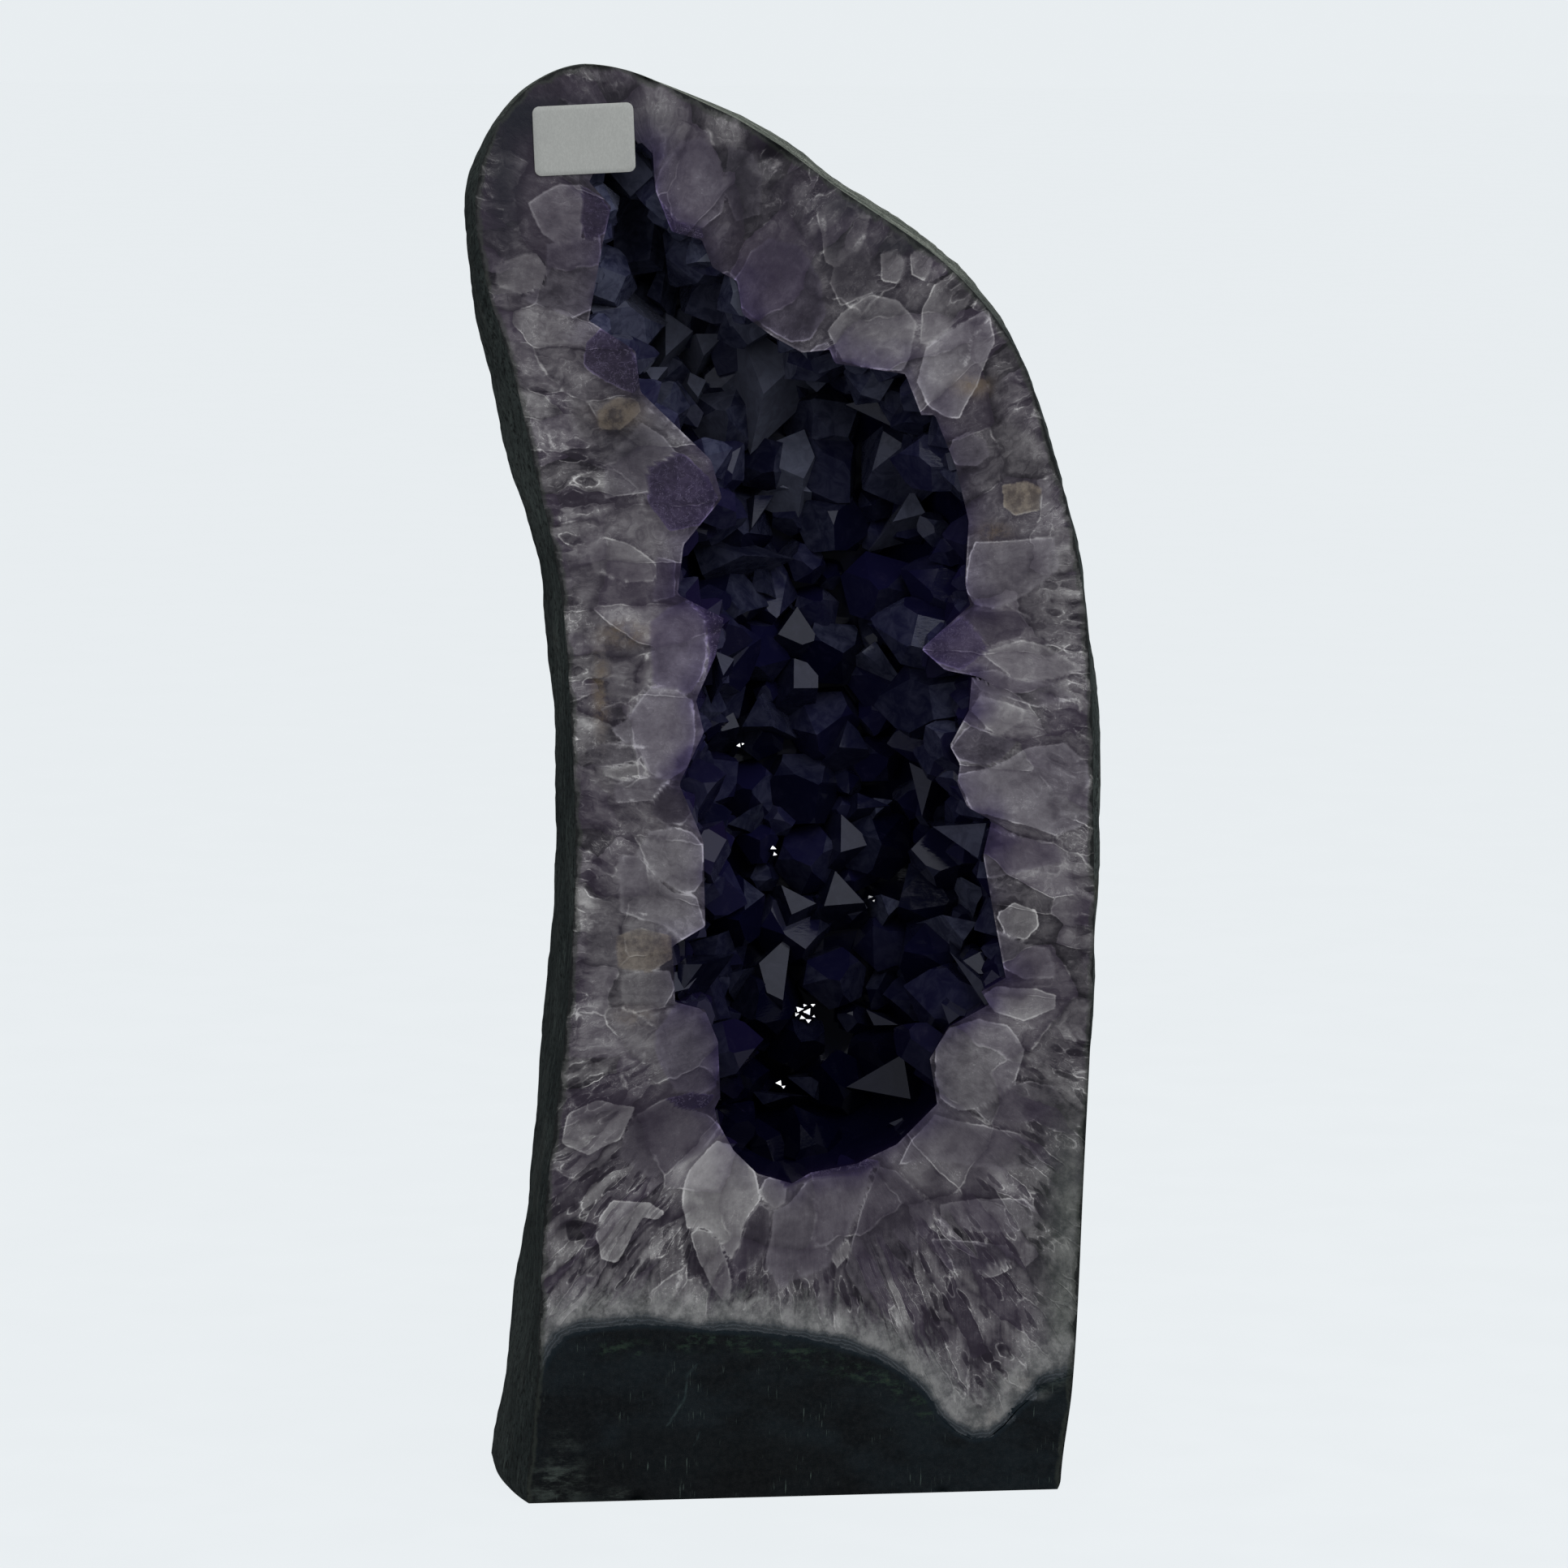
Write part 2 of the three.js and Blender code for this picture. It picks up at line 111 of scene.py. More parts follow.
# Sawn crystals that stand out: paleness, violet (or ochre where below 0), corners.
CRYSTALS = [
    (0.4, 0.1, -95, 481, -90, 485, -84, 488, -75, 488, -75, 478, -76, 467, -84, 466, -90, 470),
    (-0.5, 0.7, -76, 488, -69, 484, -65, 478, -67, 471, -74, 467, -76, 475),
    (0.3, 0, -107, 459, -98, 463, -92, 464, -88, 458, -90, 451, -98, 448, -107, 452),
    (0.05, 0.2, -89, 467, -69, 469, -68, 458, -70, 444, -79, 440, -98, 447, -89, 452),
    (-0.1, 0.25, -49, 489, -47, 494, -40, 504, -32, 505, -26, 499, -23, 487, -25, 478, -32, 472,
     -41, 475, -48, 483),
    (-0.5, 0.8, -48, 483, -41, 475, -32, 472, -31, 469, -38, 467, -42, 469),
    (-0.35, 0.2, -23, 502, -14, 500, -10, 491, -11, 477, -20, 474, -24, 487),
    (-0.25, 0.4, -20, 453, -14, 464, -7, 469, 4, 466, 11, 455, 14, 441, 8, 432, 1, 431, -10, 437,
     -20, 446),
    (0.15, 0, 10, 478, 17, 483, 30, 480, 28, 469, 20, 455, 13, 460),
    (-0.3, 0, 17, 463, 27, 465, 32, 455, 31, 449, 19, 444, 15, 452),
    (0.42, 0, 14, 435, 19, 441, 29, 448, 40, 446, 47, 438, 45, 425, 42, 420, 31, 421, 20, 423),
    (0.0, 0.2, 5, 425, 10, 429, 14, 431, 19, 422, 31, 419, 36, 419, 31, 412, 21, 411, 9, 413, 6,
     419),
    (0.3, 0, 33, 463, 39, 465, 43, 459, 40, 452, 34, 453),
    (0.35, 0, 44, 463, 50, 466, 53, 460, 50, 453, 45, 455),
    (0.55, 0.1, 47, 416, 50, 428, 62, 437, 73, 443, 76, 431, 70, 416, 63, 403, 58, 403, 52, 407),
    (0.3, 0, 48, 429, 49, 443, 54, 452, 62, 457, 68, 451, 65, 440, 53, 431),
    (-0.65, 0.8, -74, 431, -67, 437, -58, 431, -53, 418, -56, 412, -67, 417, -75, 423),
    (-0.35, -0.6, -70, 406, -63, 411, -55, 411, -54, 406, -61, 399, -69, 399),
    (-0.45, 0.9, -51, 385, -39, 391, -29, 382, -25, 374, -32, 364, -43, 362, -51, 372),
    (0.15, 0.1, -67, 388, -54, 402, -46, 397, -41, 391, -51, 385, -51, 377, -67, 374),
    (0.2, 0, -74, 357, -67, 360, -58, 358, -49, 351, -47, 348, -49, 344, -59, 343, -71, 347),
    (-0.25, 0.3, -48, 353, -41, 351, -41, 338, -50, 336, -48, 343),
    (0.05, 0.5, -50, 329, -44, 334, -37, 337, -30, 330, -29, 318, -31, 309, -35, 302, -40, 304, -49,
     306, -50, 318),
    (-0.4, 0.9, -37, 338, -30, 336, -22, 329, -23, 318, -29, 309, -28, 318, -30, 330),
    (0.4, 0.2, -65, 290, -59, 293, -50, 305, -40, 304, -34, 300, -33, 288, -35, 275, -43, 270, -50,
     273, -53, 280, -62, 287),
    (-0.1, 0, -66, 305, -59, 308, -50, 306, -55, 301, -64, 302),
    (-0.5, 0, -68, 297, -61, 300, -57, 298, -59, 294, -65, 292),
    (-0.15, 0.1, -73, 283, -62, 285, -51, 283, -54, 278, -70, 275),
    (0.3, 0, -70, 274, -53, 277, -50, 273, -62, 271),
    (0.1, 0.1, -63, 270, -50, 272, -42, 270, -46, 263, -63, 262),
    (-0.7, 0.1, -48, 266, -43, 269, -35, 266, -32, 261, -37, 255, -44, 254, -49, 258),
    (0.35, 0.1, -50, 252, -41, 253, -34, 251, -30, 246, -30, 233, -33, 229, -39, 229, -47, 234, -51,
     240, -55, 243),
    (0.25, 0.1, -61, 243, -54, 243, -50, 238, -41, 229, -32, 227, -29, 216, -38, 211, -44, 216, -61,
     222),
    (0.0, -0.7, -62, 213, -53, 216, -41, 213, -41, 204, -50, 199, -61, 201),
    (0.1, 0, -60, 198, -53, 200, -42, 200, -40, 193, -44, 186, -56, 184, -60, 189),
    (-0.15, 0.1, -39, 201, -30, 203, -29, 199, -35, 193, -39, 190),
    (0.15, 0.35, -48, 177, -39, 188, -34, 188, -26, 182, -23, 170, -24, 156, -31, 153, -40, 155,
     -47, 168),
    (-0.6, 1.0, -43, 152, -34, 154, -25, 153, -28, 148, -39, 147),
    (0.5, 0, -82, 136, -79, 147, -69, 152, -54, 149, -60, 137, -72, 131),
    (-0.4, 0, -67, 145, -62, 148, -57, 146, -60, 143, -65, 142),
    (-0.05, 0.1, -55, 146, -43, 152, -28, 146, -23, 141, -30, 131, -49, 122, -61, 131),
    (0.0, 0.2, 58, 389, 61, 395, 67, 398, 73, 394, 75, 389, 70, 385, 63, 385),
    (0.35, -1.0, 79, 378, 88, 380, 94, 377, 93, 369, 84, 367, 80, 370),
    (0.3, 0.1, 68, 353, 70, 357, 87, 358, 99, 359, 101, 347, 88, 337, 77, 332, 69, 334, 66, 341),
    (-0.4, 0.75, 50, 319, 58, 325, 65, 330, 71, 324, 75, 318, 73, 316, 65, 310, 54, 314),
    (-0.8, 0.1, 65, 330, 68, 332, 85, 332, 91, 329, 87, 322, 79, 320, 75, 318, 71, 324),
    (0.32, 0.0, 72, 316, 79, 319, 88, 321, 96, 319, 104, 314, 111, 310, 100, 306, 85, 306, 79, 311),
    (-0.12, 0.1, 68, 309, 77, 310, 87, 306, 100, 305, 107, 299, 94, 296, 84, 299, 72, 302),
    (0.36, 0, 68, 295, 72, 301, 79, 299, 89, 295, 88, 290, 79, 285, 74, 289),
    (-0.5, 0.3, 61, 281, 69, 290, 79, 285, 87, 284, 81, 277, 74, 274, 65, 277),
    (0.35, 0.15, 63, 271, 77, 274, 90, 281, 104, 283, 113, 275, 114, 253, 101, 248, 86, 253, 70,
     257),
    (-0.2, 0.15, 75, 252, 89, 248, 101, 245, 104, 238, 86, 234, 75, 232, 74, 245),
    (0.5, 0, 79, 219, 86, 223, 94, 220, 95, 214, 90, 209, 83, 211),
    (0.15, 0.1, 79, 213, 89, 208, 99, 206, 102, 195, 90, 194, 82, 199, 79, 207),
    (0.45, 0, 74, 188, 79, 192, 93, 191, 102, 188, 102, 183, 90, 179, 79, 182),
    (0.45, 0.1, 57, 158, 57, 169, 62, 177, 73, 180, 84, 177, 91, 168, 87, 156, 81, 147, 66, 145, 59,
     150),
    (-0.1, 0.1, 73, 145, 84, 154, 93, 156, 102, 154, 106, 148, 93, 140, 77, 141),
    (0.1, 0.1, 49, 135, 57, 144, 72, 140, 90, 136, 100, 123, 81, 122, 57, 127, 44, 125),
    (0.85, 0, -69, 101, -67, 108, -63, 114, -49, 113, -43, 109, -46, 106, -51, 107, -57, 97, -61,
     90, -67, 92),
    (-1.4, 0, -81, 107, -75, 107, -68, 105, -69, 100, -79, 99),
    (0.86, 0, -37, 111, -36, 120, -34, 126, -28, 132, -24, 136, -15, 133, -11, 127, -9, 119, -8,
     113, -13, 106, -15, 97, -18, 91, -20, 92, -23, 98, -28, 103, -35, 103),
    (0.5, 0, -34, 102, -28, 102, -23, 98, -20, 90, -18, 81, -19, 75, -22, 75, -26, 81, -31, 91),
    (-0.4, 0.1, -15, 97, -13, 105, -8, 112, -4, 109, -4, 99, -8, 90, -17, 84, -18, 90),
    (0.2, 0.15, -3, 109, 2, 111, 10, 120, 26, 123, 34, 123, 30, 111, 25, 99, 18, 87, 0, 80, -6, 88,
     -4, 99),
    (-0.3, 0.8, -1, 124, 11, 126, 26, 128, 37, 127, 34, 124, 26, 123, 11, 121, 1, 117),
    (-0.15, 0.15, 36, 125, 43, 123, 56, 110, 57, 104, 54, 98, 48, 86, 31, 75, 24, 86, 30, 108),
    (0.1, 0.1, 59, 110, 72, 112, 91, 111, 100, 103, 85, 98, 60, 101),
    (-0.35, 0.15, 56, 97, 66, 96, 85, 94, 88, 89, 73, 84, 62, 86),
    (0.55, 0, 74, 84, 80, 88, 88, 86, 83, 83, 77, 81),
    (0.6, 0, 18, 92, 25, 97, 27, 93, 21, 86),
    (0.4, 0, -8, 116, -6, 121, -2, 122, 2, 119, 2, 112, -2, 109, -6, 112),
]
# Parts of the quartz band that are darker than the rest: x, z, width, height, strength.
DIM = [[-31, 170, 9, 11, 0.2], [-50, 147, 11, 9, 0.2], [40, 146, 11, 8, 0.16],
       [26, 470, 18, 20, 0.14], [24, 445, 12, 14, 0.08], [-60, 400, 12, 15, 0.14],
       [-18, 84, 10, 9, 0.1]]
# Bright cracks and crystal edges in the quartz: strength, points.
BRIGHT_LINES = [
    (0.9, -70, 440, -61, 434, -55, 425, -53, 417, -55, 412), (0.5, -51, 407, -37, 396, -27, 389),
    (0.6, -37, 337, -30, 331, -29, 318, -30, 309, -35, 302, -33, 288),
    (0.8, -67, 284, -56, 283, -49, 283), (0.8, -61, 263, -50, 262, -45, 268, -41, 271),
    (0.6, 43, 124, 49, 117, 57, 110, 58, 104, 56, 98, 62, 90, 67, 84),
    (0.5, 74, 332, 82, 334, 91, 328, 100, 332), (0.6, 66, 254, 75, 251, 89, 247),
    (1.0, 4, 121, 7, 122, 9, 122), (1.0, -11, 495, -7, 497, -3, 495, -8, 494),
    (0.9, -9, 480, -7, 481, -5, 481), (0.9, -59, 186, -53, 183, -48, 179),
    (0.8, -61, 221, -51, 221), (0.6, 12, 481, 13, 471, 11, 461), (0.6, 16, 481, 18, 472, 15, 466),
    (0.5, 22, 480, 23, 471), (0.5, 27, 479, 27, 469, 23, 465), (0.7, -30, 89, -27, 78, -24, 75),
    (0.7, -38, 106, -36, 91, -39, 79), (0.5, -49, 107, -47, 97, -48, 88),
    (0.8, 65, 422, 67, 431, 73, 439), (0.7, 89, 231, 80, 229, 75, 227),
    (0.7, 100, 299, 109, 298, 110, 293), (0.6, -68, 308, -53, 304),
    (0.7, -68, 348, -59, 342, -59, 344), (0.6, -80, 319, -74, 322, -70, 328),
]
# Stains and worn places: x, z, width, height, strength.
OCHRE = [[80, 27, 7, 4, 0.5], [93, 40, 6, 4, 0.5], [68, 415, 6, 4, 0.6], [77, 361, 5, 3, 0.5],
         [-59, 325, 8, 4, 0.6], [-68, 304, 2.5, 14, 0.6], [-61, 405, 10, 5, 0.3],
         [-55, 183, 7, 3, 0.4]]
WEATHERED = [[108, 110, 9, 30, 1], [107, 62, 9, 26, 1], [-85, 12, 11, 10, 0.9],
             [-90, 210, 6, 60, 0.3]]
DARK = [[-104, 490, 7, 26, 1], [-96, 512, 9, 8, 1], [23, 481, 14, 5, 0.8], [40, 466, 9, 3, 0.8],
        [-82, 515, 20, 6, 0.6], [-52, 510, 12, 10, 0.5], [42, 476, 6, 4, 0.4],
        [12, 468, 24, 16, 0.34], [32, 434, 20, 16, 0.34], [-22, 492, 16, 14, 0.3],
        [-52, 392, 20, 22, 0.34], [-34, 165, 12, 20, 0.36], [62, 150, 10, 14, 0.3]]
# Chips knocked off the face: x, z, size.
CHIPS = [[-7, 497, 9], [-69, 529, 5], [-52, 526, 4], [-53, 0, 4], [61.5, 0, 3], [99, 38, 5],
         [-75.7, 104, 4], [-77, 287, 3]]


# ---- What the hollow shows -------------------------------------------------------------------
# Grey facets, as the camera sees them over the face: corners.
FACETS = [
    (4, 334, -3, 324, 6, 320, 12, 322), (3, 315, 12, 312, 12, 304, 3, 304),
    (28, 317, 33, 321, 44, 305), (23, 292, 27, 288, 31, 281, 20, 282),
    (-10, 301, -5, 290, -16, 290), (27, 265, 39, 260, 27, 259), (21, 257, 33, 246, 21, 243),
    (46, 276, 55, 271, 51, 256), (55, 252, 75, 253, 72, 240), (-21, 254, -12, 260, -15, 252),
    (-36, 360, -16, 353, -31, 346), (-11, 353, -7, 339, -13, 340),
    (3, 213, 0, 188, -6, 191, -9, 202), (-35, 210, -24, 213, -28, 194),
    (-39, 202, -30, 202, -39, 190), (-21, 198, -14, 200, -20, 191), (-1, 231, 12, 224, 3, 220),
    (19, 236, 30, 224, 15, 223), (59, 219, 72, 216, 67, 209), (62, 205, 74, 194, 78, 181),
    (66, 233, 75, 228, 72, 223), (59, 186, 66, 181, 62, 178), (31, 184, 43, 178, 34, 178),
    (24, 155, 45, 167, 48, 150), (-11, 154, 3, 152, -7, 149), (2, 159, 14, 159, 12, 151),
    (40, 141, 45, 143, 46, 138), (-45, 442, -35, 435, -45, 426), (-34, 434, -23, 434, -31, 426),
    (-53, 422, -44, 422, -49, 416), (-17, 433, -13, 436, 4, 424, -9, 412),
    (-44, 466, -47, 445, -52, 448), (21, 408, 34, 411, 40, 399),
    (-4, 395, 6, 399, 10, 389, 6, 381, -3, 385), (-64, 481, -48, 484, -51, 461, -64, 459),
    (-36, 420, -30, 417, -33, 411, -37, 416), (-38, 399, -34, 394, -35, 396),
    (57, 380, 68, 365, 60, 365), (-26, 318, -19, 315, -23, 309), (-20, 297, -17, 290, -25, 288),
    (34, 257, 40, 262, 33, 263), (36, 227, 44, 224, 39, 219),
    (-44, 191, -35, 193, -29, 201, -41, 199), (39, 365, 46, 377, 51, 368),
    (-3, 378, 9, 376, 4, 381), (-13, 363, -5, 375, -12, 375),
]
# The facets with a dim reflection, by their number in the table.
DIM_FACETS = {4, 7, 8, 9, 10, 11, 13, 14, 15, 19, 21, 22, 23, 24, 25, 26, 31, 32, 34}
# Tiny broken facets that shine white: middle, size.
GLINTS = [(6.2, 184.6, 1.6), (9.4, 183.4, 1.9), (7.4, 181.4, 1.3), (11.2, 186, 0.9),
          (5.2, 182.6, 0.9), (9.6, 180.2, 1.1), (8.2, 186, 0.8), (11.6, 181.8, 0.7),
          (-1, 157, 1.5), (0.5, 155.6, 0.8), (32, 226, 1.1), (33.5, 224.6, 0.6),
          (-17, 283, 1.0), (-15.6, 283.6, 0.6), (-4, 245, 1.3), (-3.4, 242.6, 0.9)]

# What turns a place on the face into the row frame, found from two pieces of the CAD.
label_low, label_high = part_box("paper_label")
SHIFT = np.array([(label_low[0] + label_high[0]) * 500 - LABEL["x"],
                  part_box("geode_body")[0][1] * 1000, 0])


def to_row(points):
    """Millimetres on and behind the face as metres in the row frame."""
    return (np.asarray(points, float) + SHIFT) / 1000


def linear(red, green, blue):
    """A display colour, 0 to 255, as a linear one."""
    return tuple(((c / 255 + 0.055) / 1.055) ** 2.4 if c > 10 else c / 255 / 12.92
                 for c in (red, green, blue)) + (1.0,)


def points_of(flat):
    """Points of a line or polygon that is written as x, z, x, z and so on."""
    return np.array(flat, float).reshape(-1, 2)


# ---- Camera ----------------------------------------------------------------------------------
PHOTO_PIXELS = 1932
EYE_DISTANCE = 2.6
AZIMUTH, ELEVATION, ROLL = math.radians(8), math.radians(9), math.radians(0.5)
BACK = Vector((-math.sin(AZIMUTH) * math.cos(ELEVATION), -math.cos(AZIMUTH) * math.cos(ELEVATION),
               math.sin(ELEVATION)))
EYE = Vector(to_row([0, 0, HEIGHT / 2])) + BACK * EYE_DISTANCE
camera = bpy.data.objects.new("camera", bpy.data.cameras.new("camera"))
bpy.context.scene.collection.objects.link(camera)
camera.data.sensor_width = 36
camera.data.lens = 162.93
camera.data.shift_x = -0.92 / PHOTO_PIXELS
camera.data.shift_y = 10.2 / PHOTO_PIXELS
camera.data.clip_end = 60
camera.location = EYE
camera.rotation_mode = "QUATERNION"
camera.rotation_quaternion = ((-BACK).to_track_quat("-Z", "Y")
                              @ Matrix.Rotation(ROLL, 3, "Z").to_quaternion())
bpy.context.scene.camera = camera


# ---- Curves ----------------------------------------------------------------------------------
def profile(pairs):
    """The smooth function through pairs that the CAD uses."""
    x, y = np.array(pairs, float).T
    last = len(x) - 1

    def at(place):
        place = np.asarray(place, float)
        i = np.clip(np.searchsorted(x, place, side="right"), 1, last)
        t0, t1 = x[i - 1], x[i]
        first, end = i == 1, i == last
        before = np.where(first, 2 * t0 - t1, x[np.maximum(i - 2, 0)])
        after = np.where(end, 2 * t1 - t0, x[np.minimum(i + 1, last)])
        v_before = np.where(first, y[i], y[np.maximum(i - 2, 0)])
        v_after = np.where(end, y[i - 1], y[np.minimum(i + 1, last)])
        half = (t1 - t0) / 2
        wp, wn = half / (t0 - before), half / (after - t1)
        p = (place - t0) / (t1 - t0)
        p2, p3 = p * p, p * p * p
        return ((-wp * p3 + 2 * wp * p2 - wp * p) * v_before
                + ((1 + wp) * p3 + (-1.5 - 2 * wp) * p2 + (-0.5 + wp) * p + 1) * y[i - 1]
                + ((-1 - wn) * p3 + (1.5 + wn) * p2 + 0.5 * p) * y[i]
                + (wn * p3 - wn * p2) * v_after)
    return at


def crowned(edge, heights):
    """An edge of the face that is rounded over to one top point above the first height."""
    heights = np.array(heights, float)
    bend = (edge(heights) - TOP_X) / np.sqrt(HEIGHT - heights)

    def at(z):
        z = np.asarray(z, float)
        over = TOP_X + np.interp(z, heights, bend) * np.sqrt(np.maximum(0, HEIGHT - z))
        return np.where(z > heights[0], over, edge(z))
    return at


left_edge = crowned(profile(LEFT_EDGE), [500, 511, 522])
right_edge = crowned(profile(RIGHT_EDGE), [502, 512, 525])
depth_at = profile(DEPTH)
left_square, right_square = profile(LEFT_SQUARENESS), profile(RIGHT_SQUARENESS)
left_swell, right_swell = profile(LEFT_SWELL), profile(RIGHT_SWELL)
spine_at = profile(HOLLOW_SPINE)


def spine_point(z):
    """x and z of the hollow's middle line at a height, kept away from its ends."""
    z = np.clip(z, 150, 488)
    return np.stack([spine_at(z), z], axis=-1)


def middle_and_half(z):
    """Middle and half width of the stone's outline at a height."""
    left, right = left_edge(z), right_edge(z)
    return (left + right) / 2, (right - left) / 2


def lengths(path):
    """Distance along a path, at each of its points."""
    steps = np.linalg.norm(np.diff(path, axis=0), axis=1)
    return np.concatenate([[0], np.cumsum(steps)])


def along(path, places):
    """Points of a path at the distances given."""
    run = lengths(path)
    return np.stack([np.interp(places, run, path[:, k]) for k in (0, 1)], axis=1)


def nearest(path, point):
    """Distance along a path of its point nearest to the one given."""
    run = lengths(path)
    fine = np.linspace(0, run[-1], 6000)
    return fine[np.argmin(np.linalg.norm(along(path, fine) - point, axis=1))]


def smoothed(values, width, ends):
    """Values averaged over their neighbours, with soft weights."""
    kernel = np.hanning(width)
    return np.convolve(np.pad(values, width // 2, mode=ends), kernel / kernel.sum(), mode="valid")


def distance_to(points, path):
    """Distance from each point to a path."""
    best = np.full(len(points), 1e9)
    for a, b in zip(path[:-1], path[1:]):
        ab = b - a
        size = ab @ ab
        if size < 1e-12:
            continue
        t = np.clip(((points - a) @ ab) / size, 0, 1)
        best = np.minimum(best, np.linalg.norm(points - a - t[:, None] * ab, axis=1))
    return best


def inside(points, polygon):
    """Which points lie inside a polygon."""
    x, z = points[:, 0], points[:, 1]
    result = np.zeros(len(points), bool)
    for (xa, za), (xb, zb) in zip(polygon, np.roll(polygon, -1, axis=0)):
        if za != zb:
            crosses = ((za > z) != (zb > z)) & (x < (xb - xa) * (z - za) / (zb - za) + xa)
            result ^= crosses
    return result


def border_of(points, polygon):
    """Distance to a polygon's edge, positive inside it, and the way out across that edge."""
    best = np.full(len(points), 1e9)
    way = np.zeros((len(points), 2))
    for a, b in zip(polygon, np.roll(polygon, -1, axis=0)):
        ab = b - a
        gap = points - a - np.clip(((points - a) @ ab) / (ab @ ab), 0, 1)[:, None] * ab
        away = np.linalg.norm(gap, axis=1)
        closer = away < best
        best[closer] = away[closer]
        way[closer] = gap[closer]
    sign = np.where(inside(points, polygon), 1, -1)
    return best * sign, -way * (sign / np.maximum(best, 1e-6))[:, None]


def smooth(value, low, high):
    """0 below low, 1 above high, and a soft step between."""
    t = np.clip((value - low) / (high - low), 0, 1)
    return t * t * (3 - 2 * t)


def spots(points, table):
    """Sum of soft round spots."""
    total = np.zeros(len(points))
    for x, z, width, height, strength in table:
        reach = ((points[:, 0] - x) / width) ** 2 + ((points[:, 1] - z) / height) ** 2
        total += strength * np.exp(-reach)
    return total


# ---- Meshes ----------------------------------------------------------------------------------
def make_object(name, points, faces, materials, slots=None, attributes=None, flat=False):
    """A piece in the row frame from points in millimetres."""
    mesh = bpy.data.meshes.new(name)
    mesh.from_pydata(to_row(points).tolist(), [], faces)
    for material in materials:
        mesh.materials.append(material)
    if slots is not None:
        mesh.polygons.foreach_set("material_index", np.asarray(slots, np.int32))
    for key, values in (attributes or {}).items():
        values = np.asarray(values, np.float32)
        kind = "FLOAT" if values.ndim == 1 else "FLOAT_VECTOR"
        layer = mesh.attributes.new(key, kind, "POINT" if len(values) == len(points) else "FACE")
        layer.data.foreach_set("value" if values.ndim == 1 else "vector", values.ravel())
    mesh.polygons.foreach_set("use_smooth", [not flat] * len(mesh.polygons))
    mesh.validate(clean_customdata=False)
    piece = bpy.data.objects.new(name, mesh)
    bpy.context.scene.collection.objects.link(piece)
    return piece


def grid_faces(rows, columns, start=0, closed=False):
    """Quads of a grid of points that are stored row by row."""
    r = np.arange(rows - 1)[:, None]
    c = np.arange(columns if closed else columns - 1)[None, :]
    a = start + r * columns + c
    b = start + r * columns + (c + 1) % columns
    return np.stack([a, b, b + columns, a + columns], axis=-1).reshape(-1, 4)


def edge_points(edge, low):
    """Points of one side of the face from a height up to the top, closer together there."""
    rise = 1 - (1 - np.linspace(0, 1, 1400)) ** 2.2
    z = low + (HEIGHT - low) * rise
    return np.stack([edge(z), z], axis=1)


# The outer loop of the quartz runs clockwise: from the top down the right side, back along the
# parting line and up the left side.
right_side = edge_points(right_edge, PARTING[-1][1])[::-1]
left_side = edge_points(left_edge, PARTING[0][1])
top_point = np.array([[TOP_X, HEIGHT]])
OUTER = np.vstack([top_point, right_side, np.array(PARTING[-2:0:-1], float), left_side, top_point])
MOUTH_LOOP = np.array(MOUTH + MOUTH[:1], float)

# Steps of the quartz's mesh along its outer loop, and from there to the mouth. Each fibre joins a
# place on the loop to one on the mouth, and the columns between them are spread evenly.
AROUND, ACROSS = 900, 44
outer_length = lengths(OUTER)[-1]
mouth_length = lengths(MOUTH_LOOP)[-1]
keys = np.array([[nearest(OUTER, start), nearest(MOUTH_LOOP, end)]
                 for start, end in map(points_of, FIBRES)])
keys = np.vstack([[0, keys[0, 1] - 2], keys, [outer_length, mouth_length + keys[0, 1] - 2]])
keys[:, 1] = np.maximum.accumulate(keys[:, 1])
outer_places = np.linspace(0, outer_length, AROUND + 1)
mouth_places = smoothed(np.interp(outer_places, keys[:, 0], keys[:, 1]), 25, "edge")
outer_ring = along(OUTER, outer_places)
mouth_ring = along(MOUTH_LOOP, np.mod(mouth_places, mouth_length))
mouth_soft = np.stack([smoothed(mouth_ring[:-1, k], 49, "wrap") for k in (0, 1)], axis=1)
mouth_soft = np.vstack([mouth_soft, mouth_soft[:1]])
# Sawn crystals at the mouth: the least distance between two corners, and about how wide one is.
TOOTH_GAP, TOOTH_WIDTH = 15, 23


def mouth_teeth():
    """Places along the mouth where one sawn crystal ends and the next begins."""
    corners = MOUTH_LOOP[:-1]
    before, after = corners - np.roll(corners, 1, axis=0), np.roll(corners, -1, axis=0) - corners
    turn = before[:, 0] * after[:, 1] - before[:, 1] * after[:, 0]
    turn = turn / np.linalg.norm(before, axis=1) / np.linalg.norm(after, axis=1)
    run = lengths(MOUTH_LOOP)[:-1]
    chosen = []
    for i in np.argsort(turn):
        gaps = [min(abs(run[i] - other), mouth_length - abs(run[i] - other)) for other in chosen]
        if turn[i] < -0.2 and all(gap > TOOTH_GAP for gap in gaps):
            chosen.append(run[i])
    chosen = sorted(chosen)
    filled = []
    for a, b in zip(chosen, chosen[1:] + [chosen[0] + mouth_length]):
        pieces = max(1, round((b - a) / TOOTH_WIDTH))
        filled.extend(a + (b - a) * k / pieces for k in range(pieces))
    return np.array(filled)


teeth = mouth_teeth()
teeth_run = np.concatenate([teeth - mouth_length, teeth, teeth + mouth_length])
tooth_at = np.interp(mouth_places, teeth_run, np.arange(len(teeth_run)) - len(teeth))


# ---- The sawn face ---------------------------------------------------------------------------
def rounding(z):
    """How far the worn lower edge is drawn in near the base."""
    return 1.1 * np.clip(1 - z / 4, 0, 1) ** 2


